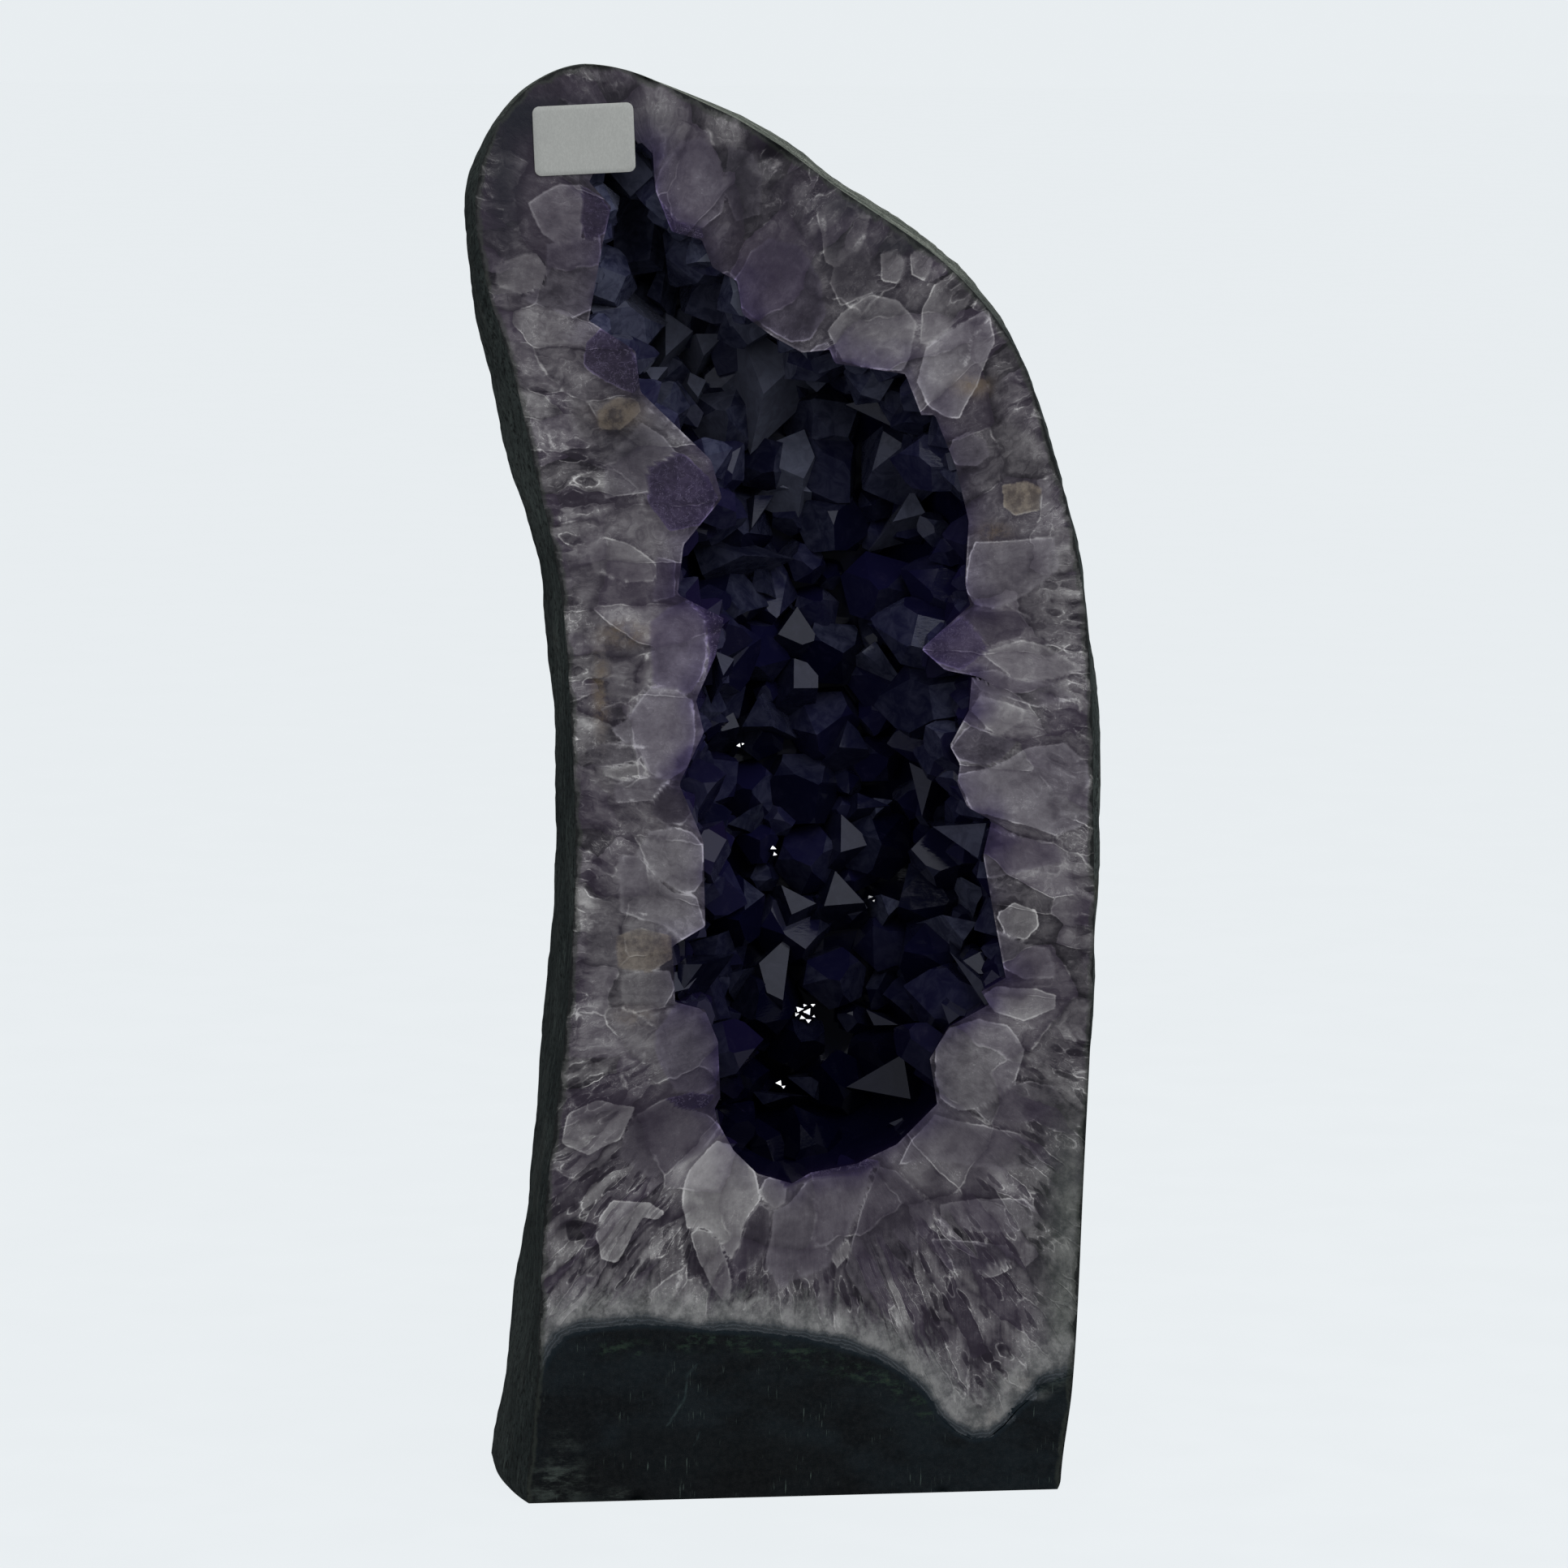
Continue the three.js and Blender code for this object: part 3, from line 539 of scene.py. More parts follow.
# The quartz: columns of points from its outer loop to the mouth.
share = np.linspace(0, 1, ACROSS + 1)
blend = smooth(share, 0.6, 1.0)[:, None, None]
band = (outer_ring[None] * (1 - share[:, None, None]) + mouth_soft[None] * share[:, None, None]
        + blend * (mouth_ring - mouth_soft)[None])
band_flat = band.reshape(-1, 2)
fibre = np.linalg.norm(mouth_soft - outer_ring, axis=1)
middle_length = (outer_length + mouth_length) / 2
band_s = np.broadcast_to(np.linspace(0, middle_length, AROUND + 1)[None], band.shape[:2]).ravel()
band_t = (share[:, None] * fibre[None]).ravel()
band_tooth = np.broadcast_to(tooth_at[None], band.shape[:2]).ravel()
band_faces = grid_faces(ACROSS + 1, AROUND + 1)

# The dark foot: columns of points from the parting line down to the base.
arch, parting = np.array(ARCH, float), np.array(PARTING, float)
FOOT_ROWS, FOOT_COLUMNS = 44, 170
arch_line = along(parting, np.linspace(0, lengths(parting)[-1], FOOT_COLUMNS + 1))
arch_line[0] = left_side[0]
arch_line[-1] = right_side[-1]
across = np.linspace(0, 1, FOOT_COLUMNS + 1)
drop = np.linspace(0, 1, FOOT_ROWS + 1)[:, None]
foot_z = arch_line[None, :, 1] * (1 - drop)
base_x = left_edge(0) + (right_edge(0) - left_edge(0)) * across
foot_x = arch_line[None, :, 0] * (1 - drop) + base_x[None] * drop
foot_x += (left_edge(foot_z) - foot_x[:, :1]) * (1 - across) ** 8
foot_x += (right_edge(foot_z) - foot_x[:, -1:]) * across ** 8
foot_x -= rounding(foot_z) * (across ** 8 - (1 - across) ** 8)
foot_flat = np.stack([foot_x, foot_z], axis=-1).reshape(-1, 2)
foot_faces = grid_faces(FOOT_ROWS + 1, FOOT_COLUMNS + 1, start=len(band_flat))

# What the materials read at each point of the face.
face_points = np.vstack([band_flat, foot_flat])
mouth_distance = distance_to(face_points, MOUTH_LOOP)
outline = np.vstack([[[left_edge(0), 0]], left_side, right_side, [[right_edge(0), 0]]])
edge_distance = distance_to(face_points, outline)
basalt_outline = np.vstack([arch, [[130, 44], [130, -20], [-130, -20], [-130, 46]]])
arch_distance = distance_to(face_points, arch) * np.where(inside(face_points, basalt_outline),
                                                          -1, 1)
FAR_OUTSIDE = -40.0
crystal_edge = np.full(len(face_points), FAR_OUTSIDE)
crystal_tone, crystal_violet, tip = np.zeros((3, len(face_points)))
growth = np.zeros_like(face_points)
growth[:len(band_flat)] = np.tile((mouth_soft - outer_ring) / fibre[:, None], (ACROSS + 1, 1))
for tone, violet, *corners in CRYSTALS:
    here, way_out = border_of(face_points, points_of(corners))
    better = here > np.maximum(crystal_edge, -3)
    tip = np.where(better, np.sum(way_out * growth, axis=1), tip)
    crystal_tone = np.where(better, tone, crystal_tone)
    crystal_violet = np.where(better, violet, crystal_violet)
    crystal_edge = np.maximum(crystal_edge, here)
face_depth = np.zeros(len(face_points))
for x, z, size in CHIPS:
    away = np.hypot(face_points[:, 0] - x, (face_points[:, 1] - z) * 1.3)
    face_depth += np.clip(size - away, 0, None) * 0.45

crack_line = points_of([-31, 51, -35, 47, -35, 39, -42, 28])
scratch_line = points_of([-29, 27, -32, 20])
mottle_lines = [points_of([-64, 58, -52, 57]),
                points_of([-36, 60, -22, 61, 0, 56, 18, 51, 38, 44, 58, 30])]
cracks = np.maximum(0.42 - 0.4 * distance_to(face_points, crack_line),
                    0.36 - 0.4 * distance_to(face_points, scratch_line))
for strength, *line in BRIGHT_LINES:
    away = distance_to(face_points, points_of(line))
    cracks = np.maximum(cracks, 0.42 + 0.36 * strength - 0.26 * away)
mottles = np.max([smooth(distance_to(face_points, line), 5.5, 1) for line in mottle_lines],
                 axis=0)
smears = spots(face_points, [[-84, 7, 11, 8, 1.1], [-80, 20, 5, 8, 0.5], [-60, 2, 5, 2, 1],
                             [96, 39, 9, 3, 0.8], [103, 42, 5, 3, 0.8]])


# ---- The rind --------------------------------------------------------------------------------
LEVELS, TURNS = 230, 110
levels = HEIGHT * (1 - (1 - np.linspace(0, 1, LEVELS + 1)) ** 1.5)[:, None]
angles = np.linspace(0, math.pi, TURNS + 1)[None]
side, behind = np.cos(angles), np.maximum(0, np.sin(angles))
# Each level is a rounded half outline that swells behind the face.
middle, half_width = middle_and_half(levels)
power = right_square(levels) + (left_square(levels) - right_square(levels)) * (1 - side) / 2
reach = (np.abs(side) ** power + behind ** power) ** (-1 / power)
back = np.minimum(1, behind * reach)
swell = np.where(side > 0, right_swell(levels), left_swell(levels))
lump = sum(size * np.sin(2 * math.pi * levels / wave + phase) * np.sin(turns * angles + phase)
           for size, wave, turns, phase in LUMPS) * np.minimum(1, 4 * back)
lump = lump * smooth(HEIGHT - levels, 0, 40) * np.where(side < 0, 0.45, 0.8)
rind_x = middle + (half_width + lump) * side * reach + 4 * back * (1 - back) * swell * side
rind_x = rind_x - rounding(levels) * side
crown = np.sqrt(np.clip(1 - (1 - np.clip((HEIGHT - levels) / 14, 0, 1)) ** 2, 0, 1))
rind_y = (depth_at(levels) * (0.35 + 0.65 * crown) + lump - rounding(levels)) * back
rind_z = np.broadcast_to(levels, rind_x.shape)
rind = np.stack([rind_x, rind_y, rind_z], axis=-1)
normal = np.cross(np.gradient(rind, axis=1), np.gradient(rind, axis=0))
normal /= np.maximum(1e-9, np.linalg.norm(normal, axis=-1, keepdims=True))
if (normal[LEVELS // 2, TURNS // 2] @ np.array([0, 1, 0])) < 0:
    normal = -normal
girth = np.concatenate([np.zeros((LEVELS + 1, 1)),
                        np.cumsum(np.linalg.norm(np.diff(rind, axis=1), axis=-1), axis=1)], axis=1)


def roughness_at(x, y, z):
    """Relief of the weathered rind, in millimetres."""
    coarse = noise.fractal(Vector((x, y, z * 0.6)) / 26, 0.9, 2.1, 4)
    fine = noise.fractal(Vector((x, y, z * 0.35)) / 5.5, 0.8, 2.0, 3)
    return 1.2 * coarse + 0.55 * fine


relief = np.array([roughness_at(*p) for p in rind.reshape(-1, 3)]).reshape(rind.shape[:2])
border = smooth(back, 0, 0.12)
top_fade = smooth(HEIGHT - levels, 0, 60) * smooth(levels, 0, 3)
rind_relief = relief * border * top_fade
rind = rind + normal * rind_relief[..., None]
rind[:, :, 2] = np.clip(rind[:, :, 2], 0, HEIGHT)
rind_flat = rind.reshape(-1, 3)
rind_faces = grid_faces(LEVELS + 1, TURNS + 1)


# ---- The hollow's wall -----------------------------------------------------------------------
mouth_middle = (MOUTH_LOOP[:, 1].min() + MOUTH_LOOP[:, 1].max()) / 2


def hollow_rings(inset, backs):
    """Rings of the hollow behind the face, drawn in towards its middle line by inset."""
    rings = []
    for deep in backs:
        width, height, soft = (np.interp(deep, HOLLOW_STEPS[:, 0], HOLLOW_STEPS[:, k])
                               for k in (1, 2, 3))
        ring = mouth_ring[:-1] * (1 - soft) + mouth_soft[:-1] * soft
        z = mouth_middle + (ring[:, 1] - mouth_middle) * height
        x = spine_at(z) + (ring[:, 0] - spine_at(ring[:, 1])) * width
        centre, points = spine_point(z), np.stack([x, z], axis=1)
        away = np.linalg.norm(points - centre, axis=1)
        pull = np.minimum(0.45, inset / np.maximum(away, 1e-6))[:, None]
        points = points * (1 - pull) + centre * pull
        rings.append(np.stack([points[:, 0], np.full(len(points), deep), points[:, 1]], axis=1))
    return np.array(rings)


def rind_depth(x, z):
    """Depth of the plain rind behind a point of the face."""
    z = np.clip(z, 0, HEIGHT - 1)
    mid, half = middle_and_half(z)
    p = right_square(z) + (left_square(z) - right_square(z)) * (x < mid)
    return depth_at(z) * np.maximum(0, 1 - np.abs((x - mid) / half) ** p) ** (1 / p)


def wall_with_back(inset, backs, closing):
    """The rings and, behind them, smaller ones that close the hollow's back."""
    rings = hollow_rings(inset, backs)
    last = rings[-1]
    centre_z = np.clip(last[:, 2], 190, 455)
    centre = np.stack([spine_at(centre_z), np.full(len(last), backs[-1] + 1.5), centre_z], axis=1)
    extra = [last + (centre - last) * k for k in closing]
    sheet = np.concatenate([rings, np.array(extra)])
    limit = np.maximum(0, 0.86 * rind_depth(sheet[..., 0], sheet[..., 2]) - 3)
    sheet[..., 1] = np.minimum(sheet[..., 1], limit)
    return sheet


wall = wall_with_back(0, [0, 2, 5, 9, 14, 20, 27, 33, 40, 46, 52, 57, 62, 66], [0.3, 0.6, 1.0])
wall_flat = wall.reshape(-1, 3)
wall_faces = grid_faces(len(wall), wall.shape[1], closed=True)


# ---- One closed body from these sheets -------------------------------------------------------
face_3d = np.stack([face_points[:, 0], face_depth, face_points[:, 1]], axis=1)
start_rind = len(face_3d)
start_wall = start_rind + len(rind_flat)
body_points = np.vstack([face_3d, rind_flat, wall_flat])
columns = TURNS + 1
base_face = [start_rind + c for c in range(columns)]
top_face = [start_rind + LEVELS * columns + c for c in range(columns)][::-1]


def turned(faces, outward):
    """The faces as lists, all turned round if the middle one looks the wrong way."""
    middle_face = faces[len(faces) // 2]
    a, b, c = (body_points[middle_face[k]] for k in (0, 1, 2))
    wrong = np.cross(b - a, c - a) @ np.array(outward, float) < 0
    return [list(map(int, f[::-1] if wrong else f)) for f in faces]


rind_out = normal[LEVELS // 2, TURNS // 2]
wall_middle = (wall_faces + start_wall)[len(wall_faces) // 2][0]
wall_in = np.array(MIDDLE_OF_HOLLOW) - body_points[wall_middle]
body_faces = (turned(band_faces, (0, -1, 0)) + turned(foot_faces, (0, -1, 0))
              + turned(rind_faces + start_rind, rind_out)
              + turned([base_face], (0, 0, -1)) + turned([top_face], (0, 0, 1))
              + turned(wall_faces + start_wall, wall_in))
body_slots = ([0] * (len(band_faces) + len(foot_faces)) + [1] * (len(rind_faces) + 2)
              + [2] * len(wall_faces))


def of_face(*values, fill=0.0):
    """Three numbers for each point of the face, with a fill for the other sheets' points."""
    rest = np.full((len(body_points) - len(face_points), 3), fill)
    return np.vstack([np.stack(values, axis=1), rest])


wrapped, painted_rind_light, wall_tone_and_painted_light = np.zeros((3, len(body_points), 3))
wrapped[start_rind:start_wall] = np.stack([girth.ravel(), rind_flat[:, 2], rind_relief.ravel()],
                                          axis=1)
# Painted light: the rind is paler along its top and the front of its upper right side.
painted_rim_light = (smooth(levels, 425, 470) * (side > 0) * smooth(back, 0.75, 0.25)
            + 0.5 * smooth(levels, 500, 520) * smooth(back, 0.7, 0.3))
painted_rind_light[start_rind:start_wall, 0] = painted_rim_light.ravel()
wall_tone_and_painted_light[start_wall:, 0] = 0.3
# Painted light: the hollow's wall turns a paler violet close to the mouth.
wall_tone_and_painted_light[start_wall:, 1] = np.exp(-wall_flat[:, 1] / 9)
body_attributes = {
    "band": of_face(np.concatenate([band_s, foot_flat[:, 0]]),
                    np.concatenate([band_t, foot_flat[:, 1]]),
                    np.concatenate([band_tooth, foot_flat[:, 0] / 25])),
    "reach": of_face(mouth_distance, edge_distance, arch_distance, fill=50.0),
    "marks": of_face(crystal_edge, crystal_tone, crystal_violet, fill=FAR_OUTSIDE),
    "tip": of_face(tip, spots(face_points, DIM), np.zeros(len(face_points))),
    "stains": of_face(*(spots(face_points, table) for table in (OCHRE, WEATHERED, DARK))),
    "foot": of_face(smears, cracks, mottles),
    "rind": wrapped,
    "painted_rind_light": painted_rind_light,
    "crystal": wall_tone_and_painted_light,
}


# ---- Materials -------------------------------------------------------------------------------
class Value:
    """A number that varies over the surface. Arithmetic on it adds the nodes that work it out."""

    def __init__(self, shader, socket):
        self.shader, self.socket = shader, socket

    def __add__(self, other):
        return self.shader.math("ADD", self, other)

    def __sub__(self, other):
        return self.shader.math("SUBTRACT", self, other)

    def __rsub__(self, other):
        return self.shader.math("SUBTRACT", other, self)

    def __mul__(self, other):
        return self.shader.math("MULTIPLY", self, other)

    def __abs__(self):
        return self.shader.math("ABSOLUTE", self)

    def at_least(self, other):
        return self.shader.math("MAXIMUM", self, other)

    def at_most(self, other):
        return self.shader.math("MINIMUM", self, other)

    def wave(self):
        return self.shader.math("SINE", self)

    def clamp(self):
        """The same number, kept within 0 and 1."""
        self.socket.node.use_clamp = True
        return self

    def step(self, low, high, out_low=0.0, out_high=1.0):
        """A soft step from one number to another, while this one goes from low to high."""
        return self.shader.number("ShaderNodeMapRange", 0,
                                  {0: self, 1: low, 2: high, 3: out_low, 4: out_high},
                                  interpolation_type="SMOOTHSTEP")

    def blend(self, a, b):
        """a where this number is 0, and b where it is 1."""
        return self.shader.number("ShaderNodeMix", 0, {0: self, 2: a, 3: b}, data_type="FLOAT")


class Shader:
    """A procedural material, with short names for the nodes that it uses."""

    def __init__(self, name, **values):
        self.material = bpy.data.materials.new(name)
        self.material.use_nodes = True
        self.tree = self.material.node_tree
        self.bsdf = self.tree.nodes["Principled BSDF"]
        for key, value in values.items():
            self.bsdf.inputs[key.replace("_", " ")].default_value = value

    def add(self, kind, output, inputs, **settings):
        """A new node's output, with its inputs joined or set."""
        node = self.tree.nodes.new(kind)
        for key, value in settings.items():
            setattr(node, key, value)
        for key, value in inputs.items():
            value = getattr(value, "socket", value)
            if isinstance(value, bpy.types.NodeSocket):
                self.tree.links.new(value, node.inputs[key])
            else:
                node.inputs[key].default_value = value
        return node.outputs[output]

    def number(self, *arguments, **settings):
        return Value(self, self.add(*arguments, **settings))

    def set(self, key, value):
        self.tree.links.new(getattr(value, "socket", value), self.bsdf.inputs[key])

    def attribute(self, name):
        return self.add("ShaderNodeAttribute", "Vector", {}, attribute_name=name)

    def parts(self, vector):
        node = self.add("ShaderNodeSeparateXYZ", 0, {0: vector}).node
        return [Value(self, output) for output in node.outputs]

    def millimetres(self):
        place = self.add("ShaderNodeTexCoord", "Object", {})
        return self.times(place, 1000.0)

    def times(self, vector, factor):
        return self.add("ShaderNodeVectorMath", 0, {0: vector, "Scale": factor}, operation="SCALE")

    def plus(self, a, b):
        return self.add("ShaderNodeVectorMath", 0, {0: a, 1: b}, operation="ADD")

    def scaled(self, vector, x, y=None, z=1.0):
        """A place divided by a size in millimetres: one size, or one for each direction."""
        size = (x, x, x) if y is None else (x, y, z)
        return self.add("ShaderNodeVectorMath", 0, {0: vector, 1: [1 / k for k in size]},
                        operation="MULTIPLY")

    def math(self, operation, a, b=0.0):
        return self.number("ShaderNodeMath", 0, {0: a, 1: b}, operation=operation)

    def ramp(self, value, shades):
        """Greys and colours, evenly spaced from 0 to 1."""
        colour = self.add("ShaderNodeValToRGB", "Color", {0: value})
        elements = colour.node.color_ramp.elements
        elements[0].color, elements[-1].color = linear(*shades[0]), linear(*shades[-1])
        for k, shade in enumerate(shades[1:-1], 1):
            elements.new(k / (len(shades) - 1)).color = linear(*shade)
        return colour

    def mix(self, factor, a, b, how="MIX"):
        return self.add("ShaderNodeMix", 2, {0: factor, 6: a, 7: b}, data_type="RGBA",
                        blend_type=how)

    def coats(self, colour, *coats):
        """The colour with coats over it: how much of each, and its display colour or socket."""
        for factor, shade in coats:
            shade = linear(*shade) if isinstance(shade, tuple) else shade
            colour = self.mix(factor, colour, shade)
        return colour

    def between(self, value, low, high, dark, pale):
        """A display colour that goes from dark to pale while the value goes from low to high."""
        return self.mix(value.step(low, high), linear(*dark), linear(*pale))

    def noise(self, vector, detail, rough=0.5, distortion=0.0, output="Fac"):
        socket = self.add("ShaderNodeTexNoise", output,
                          {"Vector": vector, "Scale": 1.0, "Detail": detail, "Roughness": rough,
                           "Distortion": distortion})
        return Value(self, socket) if output == "Fac" else socket

    def shifts(self, place, size, detail):
        """Random sideways shifts, up to half a unit either way."""
        return self.plus(self.noise(self.scaled(place, size), detail, output="Color"),
                         (-0.5, -0.5, 0))

    def cells(self, vector, feature="F1", output="Color", random=1.0, flat=True):
        socket = self.add("ShaderNodeTexVoronoi", output,
                          {"Vector": vector, "Scale": 1.0, "Randomness": random},
                          feature=feature, voronoi_dimensions="2D" if flat else "3D")
        return Value(self, socket) if output == "Distance" else socket

    def bump(self, height, distance, strength):
        """Sets relief of this height, in metres."""
        self.set("Normal", self.add("ShaderNodeBump", 0, {"Height": height, "Distance": distance,
                                                          "Strength": strength}))


def quartz_look(s, place):
    """Colour and relief of the quartz band: long cells that grow from the rind to the hollow."""
    grow = s.attribute("band")
    tooth = s.parts(grow)[2]
    near_mouth, _, over_arch = s.parts(s.attribute("reach"))
    crystal_edge, crystal_tone, crystal_violet = s.parts(s.attribute("marks"))
    pale_line = s.parts(s.attribute("foot"))[1]
    ochre, worn, dark = s.parts(s.attribute("stains"))
    tip, dim, _ = s.parts(s.attribute("tip"))
    height = s.parts(place)[2]
    warp, jolt = s.shifts(place, 16, 3), s.shifts(place, 5, 2)
    veil = s.noise(s.scaled(place, 6), 6, 0.7)
    clouds = s.noise(s.scaled(place, 17), 5, 0.52, 0.25)
    broad = s.noise(s.scaled(place, 30), 3)

    # Two nets of cells: narrow ones by the rind, and one for each tooth of the mouth near it.
    near = (broad * 46 + near_mouth).step(46, 60, 1, 0)
    bent = s.plus(s.plus(grow, s.times(warp, 9)), s.times(jolt, 2))
    narrow = s.scaled(bent, 8.5, 25)
    wide = s.add("ShaderNodeCombineXYZ", 0, {0: tooth, 1: near_mouth * (1 / 31)})
    wide = s.plus(s.plus(wide, s.times(warp, 0.34)), s.times(jolt, 0.07))
    tone, tint, kind = (near.blend(a, b) for a, b in zip(s.parts(s.cells(narrow)),
                                                         s.parts(s.cells(wide, random=0.6))))
    edge = near.blend(s.cells(narrow, "DISTANCE_TO_EDGE", "Distance") * 0.45,
                      s.cells(wide, "DISTANCE_TO_EDGE", "Distance", 0.6))
    middle_of = near.blend(s.cells(narrow, "F1", "Distance"),
                           s.cells(wide, "F1", "Distance", 0.6))

    # How pale the quartz is, from 0 to about 1.2. It is calmer low down, where streaks stand up.
    calm = height.step(166, 132, 1, 0.22)
    drift = s.noise(s.scaled(bent, 9, 24), 5, 0.6, 0.4)
    level = (tone - 0.5) * 0.44 + 0.49
    level += (drift - 0.5) * (near.blend(0.75, 0.9) * calm)
    level += (clouds - 0.5) * near.blend(0.8, 0.7)
    level += (veil - 0.5) * near.blend(0.75, 0.45)
    level -= height.step(405, 478, 0, 0.24)
    level -= dim
    level += middle_of.step(0.5, 0.05) * kind.step(0.3, 0.9, -0.08, 0.26)
    level -= edge.step(0.1, 0) * clouds.step(0.62, 0.42, 0.05, 0.24)
    strands = s.noise(s.scaled(bent, 2.2, 20), 6, 0.66)
    fibres = s.noise(s.scaled(bent, 0.9, 16), 3, 0.6)
    upright = s.noise(s.scaled(place, 1.7, 1.7, 17), 5, 0.62)
    level += (strands - 0.5) * (near.blend(0.78, 0.45) * calm)
    level += fibres.step(0.6, 0.69) * (near.blend(0.26, 0.08) * calm)
    level += (upright - 0.5) * height.step(128, 92, 0, 0.6)

    # Small dark windows by the rind with bright arcs, and thin bright wisps and cell edges.
    small = s.scaled(bent, 4.6, 12)
    core = s.cells(small, "F1", "Distance")
    opened = s.parts(s.cells(small))[0].step(0.5, 0.56) * near.blend(1.0, 0.0)
    level += core.step(0.36, 0.24, 0, -0.3) * opened
    level += abs(core - 0.38).step(0.015, 0.05, 1, 0) * veil.step(0.48, 0.58, 0, 0.42) * opened
    wisp = s.noise(s.scaled(bent, 4.5, 11), 4, 0.6, 0.7)
    wisps = abs(wisp - 0.5).step(0, 0.014, 1, 0) * clouds.step(0.44, 0.6)
    level += wisps * near.blend(0.5, 0.26)
    lines = edge.step(0.026, 0) * clouds.step(0.46, 0.58)
    level += lines * 0.42

    # The sawn crystals that stand out, each with a tone, a crisp rim and a shade round its tip.
    wander = (clouds - 0.5) * 2.6 + ((veil - 0.5) * 1.7 + crystal_edge)
    at_tip = ((broad - 0.5) * 1.6 + tip).step(-0.7, 0.3)
    at_tip = at_tip.at_least(abs(crystal_tone).step(0.3, 0.5))
    eased = wander * at_tip.blend(0.3, 1.0)
    within = eased.step(-0.2, 0.3)
    aim = crystal_tone * 0.4 + 0.24 + wander.step(2.6, 0.3, -0.02, 0.07) + (veil - 0.5) * 0.36
    level = within.blend(level, level * 0.5 + aim)
    rim = abs(eased - 0.25).step(0.14, 0.48, 0.34, 0)
    level += rim * (at_tip * clouds.step(0.44, 0.6, 0.06, 1))
    level -= wander.step(-3, -0.3, 0, 0.16) * (1 - within) * at_tip
    level += near_mouth.step(0.9, 0.3, 0, 0.26) * clouds.step(0.48, 0.6)
    dots = s.noise(s.scaled(place, 1.1), 3, 0.6)
    level += dots.step(0.64, 0.76) * clouds.step(0.48, 0.62, 0, 0.3)
    level += ((veil - 0.5) * 1.3 + pale_line).step(0.38, 0.9) * 0.55
    colour = s.ramp(level * 0.8, [(31, 28, 36), (67, 64, 71), (110, 107, 112), (152, 150, 153),
                                  (206, 205, 206), (246, 245, 246)])

    # Violet by the mouth and in some crystals, and the stains.
    colour = s.coats(colour, (tint * 0.3, (106, 92, 118)))
    ragged = (clouds - 0.5) * 22 + near_mouth
    by_cell = tint.step(0.1, 0.9, 0.4, 1) * crystal_tone.step(0.2, 0.9, 1, 0.25)
    violet = ragged.step(13, -3) * by_cell
    own = (crystal_violet.at_least(0.0) * within).clamp()
    for amount, shade in [(violet, (0.4, 0.33, 0.66, 1)),
                          (ragged.step(3, -2, 0, 0.6), (0.34, 0.29, 0.56, 1)),
                          (own, (0.5, 0.4, 0.78, 1))]:
        colour = s.mix(amount, colour, shade, "MULTIPLY")
    spangle = s.noise(s.scaled(place, 2.6), 4, 0.65, 1.2)
    spangle = abs(spangle - 0.56).step(0, 0.02, 1, 0)
    rust = (crystal_violet * -0.8 * within).clamp()
    over = (strands - 0.5) * 34 + over_arch
    band = (broad - 0.5) * 6 + ((veil - 0.5) * 4 + over_arch)
    fine_bands = (band * 4.6).wave().step(0.2, 0.9, 0, 0.4)
    colour = s.coats(
        colour,
        (own.step(0.55, 0.85, 0, 0.5) * spangle, (150, 140, 176)),
        (rust * 0.75, s.between(veil, 0.36, 0.62, (88, 76, 62), (164, 150, 128))),
        ((ochre * veil.step(0.34, 0.6)).clamp(), (142, 124, 98)),
        ((worn * 0.8).clamp(), s.between(veil, 0.35, 0.65, (84, 90, 88), (134, 138, 134))),
        ((dark * 0.8).clamp(), (34, 36, 48)),
        (over.step(20, 5, 0, 0.82),
         s.between(veil, 0.35, 0.65, (118, 121, 122), (180, 181, 181))),
        (band.step(5.6, 1.6, 0, 0.92), (42, 52, 60)),
        (fine_bands * band.step(4.4, 2.6), (112, 120, 128)))
    return colour, strands + lines


def basalt_look(s, place):
    """Colour and relief of the dark foot: fine-grained basalt with faint mottles."""
    over_arch = s.parts(s.attribute("reach"))[2]
    smear, crack, mottled = s.parts(s.attribute("foot"))
    grain = s.noise(s.scaled(place, 1.1), 5, 0.72)
    broad = s.noise(s.scaled(place, 30, 30, 14), 5, 0.6)
    mottle = s.noise(s.scaled(place, 5, 5, 2.6), 5, 0.7)
    upright = s.noise(s.scaled(place, 0.5, 1, 9), 2)
    marked = s.noise(s.scaled(place, 16, 16, 10), 2)
    soft = s.noise(s.scaled(place, 9, 9, 3), 6, 0.75)
    colour = s.coats(
        s.between(broad, 0.36, 0.64, (8, 15, 19), (26, 34, 38)),
        (grain.step(0.55, 0.8, 0, 0.3), (60, 72, 74)),
        (over_arch.step(-34, -42) * 0.6, (6, 9, 11)),
        ((mottle.step(0.48, 0.62, 0, 0.8) * mottled).clamp(), (50, 66, 52)),
        ((mottle.step(0.6, 0.72, 0, 0.4) * mottled).clamp(), (82, 80, 58)),
        (upright.step(0.64, 0.74, 0, 0.8) * marked.step(0.5, 0.62), (112, 120, 108)),
        (crack.step(0.1, 0.5), (70, 82, 80)),
        (over_arch.step(-2.4, -0.3), (30, 40, 46)),
        ((smear * soft.step(0.42, 0.7, 0, 0.8)).clamp(), (108, 110, 100)))
    return s.mix(1.0, colour, (0.74, 0.9, 1.0, 1), "MULTIPLY"), grain


